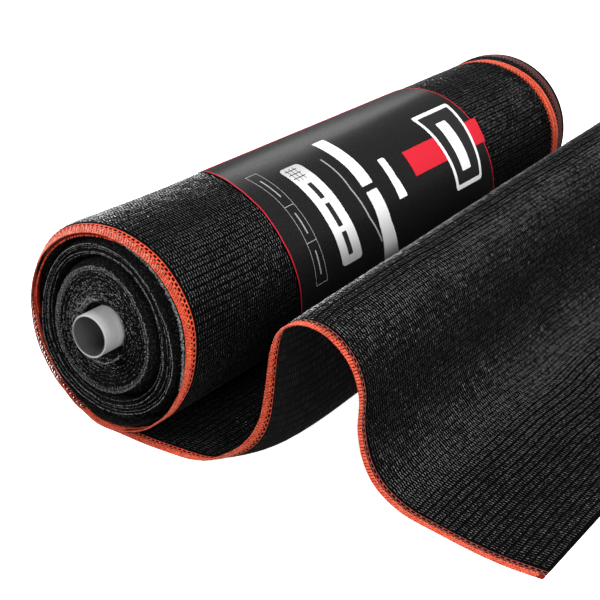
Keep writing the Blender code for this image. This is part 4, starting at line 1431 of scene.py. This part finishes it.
def title_surface():
    """White print, darkened towards its lower end by painted shade, where the roll turns under."""
    s = Surface("print_title", 0.4, 0.5)
    where = s.place()
    z = s.parts(where)[2]
    grain = s.noise(where, 260.0, 2.0)
    # painted shade: dark grey below a height of 0.10 m, white above 0.14 m
    tone = s.blend(s.ease(z, 0.100, 0.140), (0.10, 0.10, 0.10), (0.86, 0.86, 0.86))
    s.colour(s.blend(s.ease(grain, 0.3, 0.7, 0.0, 0.1), tone, (0.5, 0.5, 0.5)))
    return s.material


def make_print():
    """The label's printing: plain generic shapes, no lettering."""
    angles = np.linspace(LABEL_TOP_ANGLE, LABEL_BOTTOM_ANGLE, 81)
    decal("print_border_near", strip(LABEL_ROWS, angles, 0.0, 0.0, (0.0, 1.7)), RED_PRINT)
    decal("print_border_far", strip(LABEL_ROWS, angles, 1.0, 1.0, (-1.7, 0.0)), RED_PRINT)
    for name, ends in (
        ("print_border_top", (LABEL_TOP_ANGLE, LABEL_TOP_ANGLE - 8.0)),
        ("print_border_bottom", (LABEL_BOTTOM_ANGLE + 0.8, LABEL_BOTTOM_ANGLE)),
    ):
        decal(name, strip(LABEL_ROWS, ends, 0.0, 1.0, (1.8, -1.8)), RED_PRINT)

    cells = [
        (77.0, 247.1, 270.9), (47.4, 248.5, 270.0), (23.7, 252.5, 275.0), (10.0, 257.0, 281.0),
        (-3.3, 262.8, 289.5),
    ]
    line = 0.9
    angles = np.linspace(77.0, -3.3, 17)
    decal("print_cells_near", strip(cells, angles, 0.0, 0.0, (0.0, line)), GREY_PRINT)
    decal("print_cells_far", strip(cells, angles, 1.0, 1.0, (-line, 0.0)), GREY_PRINT)
    for k, angle in enumerate((77.0, 47.4, 23.7, -2.9)):
        decal(f"print_cells_bar_{k}", bar(cells, angle, 0.42, 0.0, 1.0, (line, -line)), GREY_PRINT)
    for k, (top, bottom) in enumerate(((70.0, 54.0), (42.0, 28.5), (18.0, 3.0))):
        rows = strip(cells, np.linspace(top, bottom, 5), 0.5, 0.5, (-1.3, 1.3))
        decal(f"print_cells_mark_{k}", rows, GREY_PRINT)

    patch = [
        (71.0, 302.0, 347.0), (50.0, 303.5, 349.0), (30.0, 308.5, 355.0), (14.0, 316.0, 364.0),
        (-0.7, 326.0, 375.0),
    ]
    decal("print_patch", patch, patch_surface(), corner=7.0)
    for k, share in enumerate((0.22, 0.40, 0.58)):
        decal(f"print_mesh_down_{k}", strip(patch, (69.5, 58.0), share, share, (0.0, 1.2)), DARK_PRINT, 2)
    for k, angle in enumerate((67.8, 64.4, 61.0)):
        decal(f"print_mesh_across_{k}", bar(patch, angle, 0.55, 0.12, 0.70), DARK_PRINT, 2)
    for k, (top, bottom) in enumerate(((54.5, 42.5), (39.0, 23.5), (20.0, 5.0))):
        rows = strip(patch, np.linspace(top, bottom, 6), 0.36, 0.58)
        decal(f"print_patch_bar_{k}", rows, DARK_PRINT, 2, 1.5)

    title = title_surface()
    for name, rows, surface, level, corner in (
        ("title_upper", [(81.0, 414.0, 442.0), (60.0, 413.0, 440.0), (38.0, 414.0, 441.0)], title, 1, 2.0),
        ("title_lower", [
            (34.0, 415.0, 442.0), (12.0, 421.0, 451.0), (-10.0, 437.0, 475.0), (-20.0, 446.0, 488.0)],
         title, 1, 2.0),
        ("line", [(66.0, 386.0, 389.0), (40.0, 388.0, 391.0), (20.0, 399.0, 402.5), (2.0, 423.0, 427.0)],
         GREY_PRINT, 1, 0.0),
        ("short_bar", [(49.0, 480.0, 496.0), (35.0, 480.0, 497.0), (21.0, 483.0, 505.0)], WHITE_PRINT, 1, 2.0),
        ("band", [(46.5, 541.0, 762.5), (37.0, 541.5, 757.0), (29.0, 542.0, 754.0)], RED_PRINT, 1, 0.0),
        ("panel_edge", [(66.0, 629.0, 737.0), (50.0, 631.0, 729.0), (30.0, 635.0, 722.0), (7.0, 641.0, 719.0)],
         WHITE_PRINT, 2, 5.0),
        ("panel", [(62.8, 636.5, 728.0), (50.0, 638.0, 722.0), (30.0, 642.0, 715.5), (10.2, 647.5, 712.5)],
         DARK_PRINT, 3, 3.0),
        ("panel_bar", [(54.0, 662.0, 690.0), (36.0, 662.0, 690.0), (18.0, 664.0, 690.0)], WHITE_PRINT, 4, 2.0),
    ):
        decal("print_" + name, rows, surface, level, corner)


# ---------------------------------------------------------------- all together

add_camera()
add_studio()
make_roll()
make_roll_stitches()
make_near_turns()
tail, tail_stitches = make_tail()
bindings = make_bindings()
make_label()
make_print()
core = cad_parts["core_tube"]
plastic = plastic_surface()
for holder in core.material_slots:
    holder.material = plastic
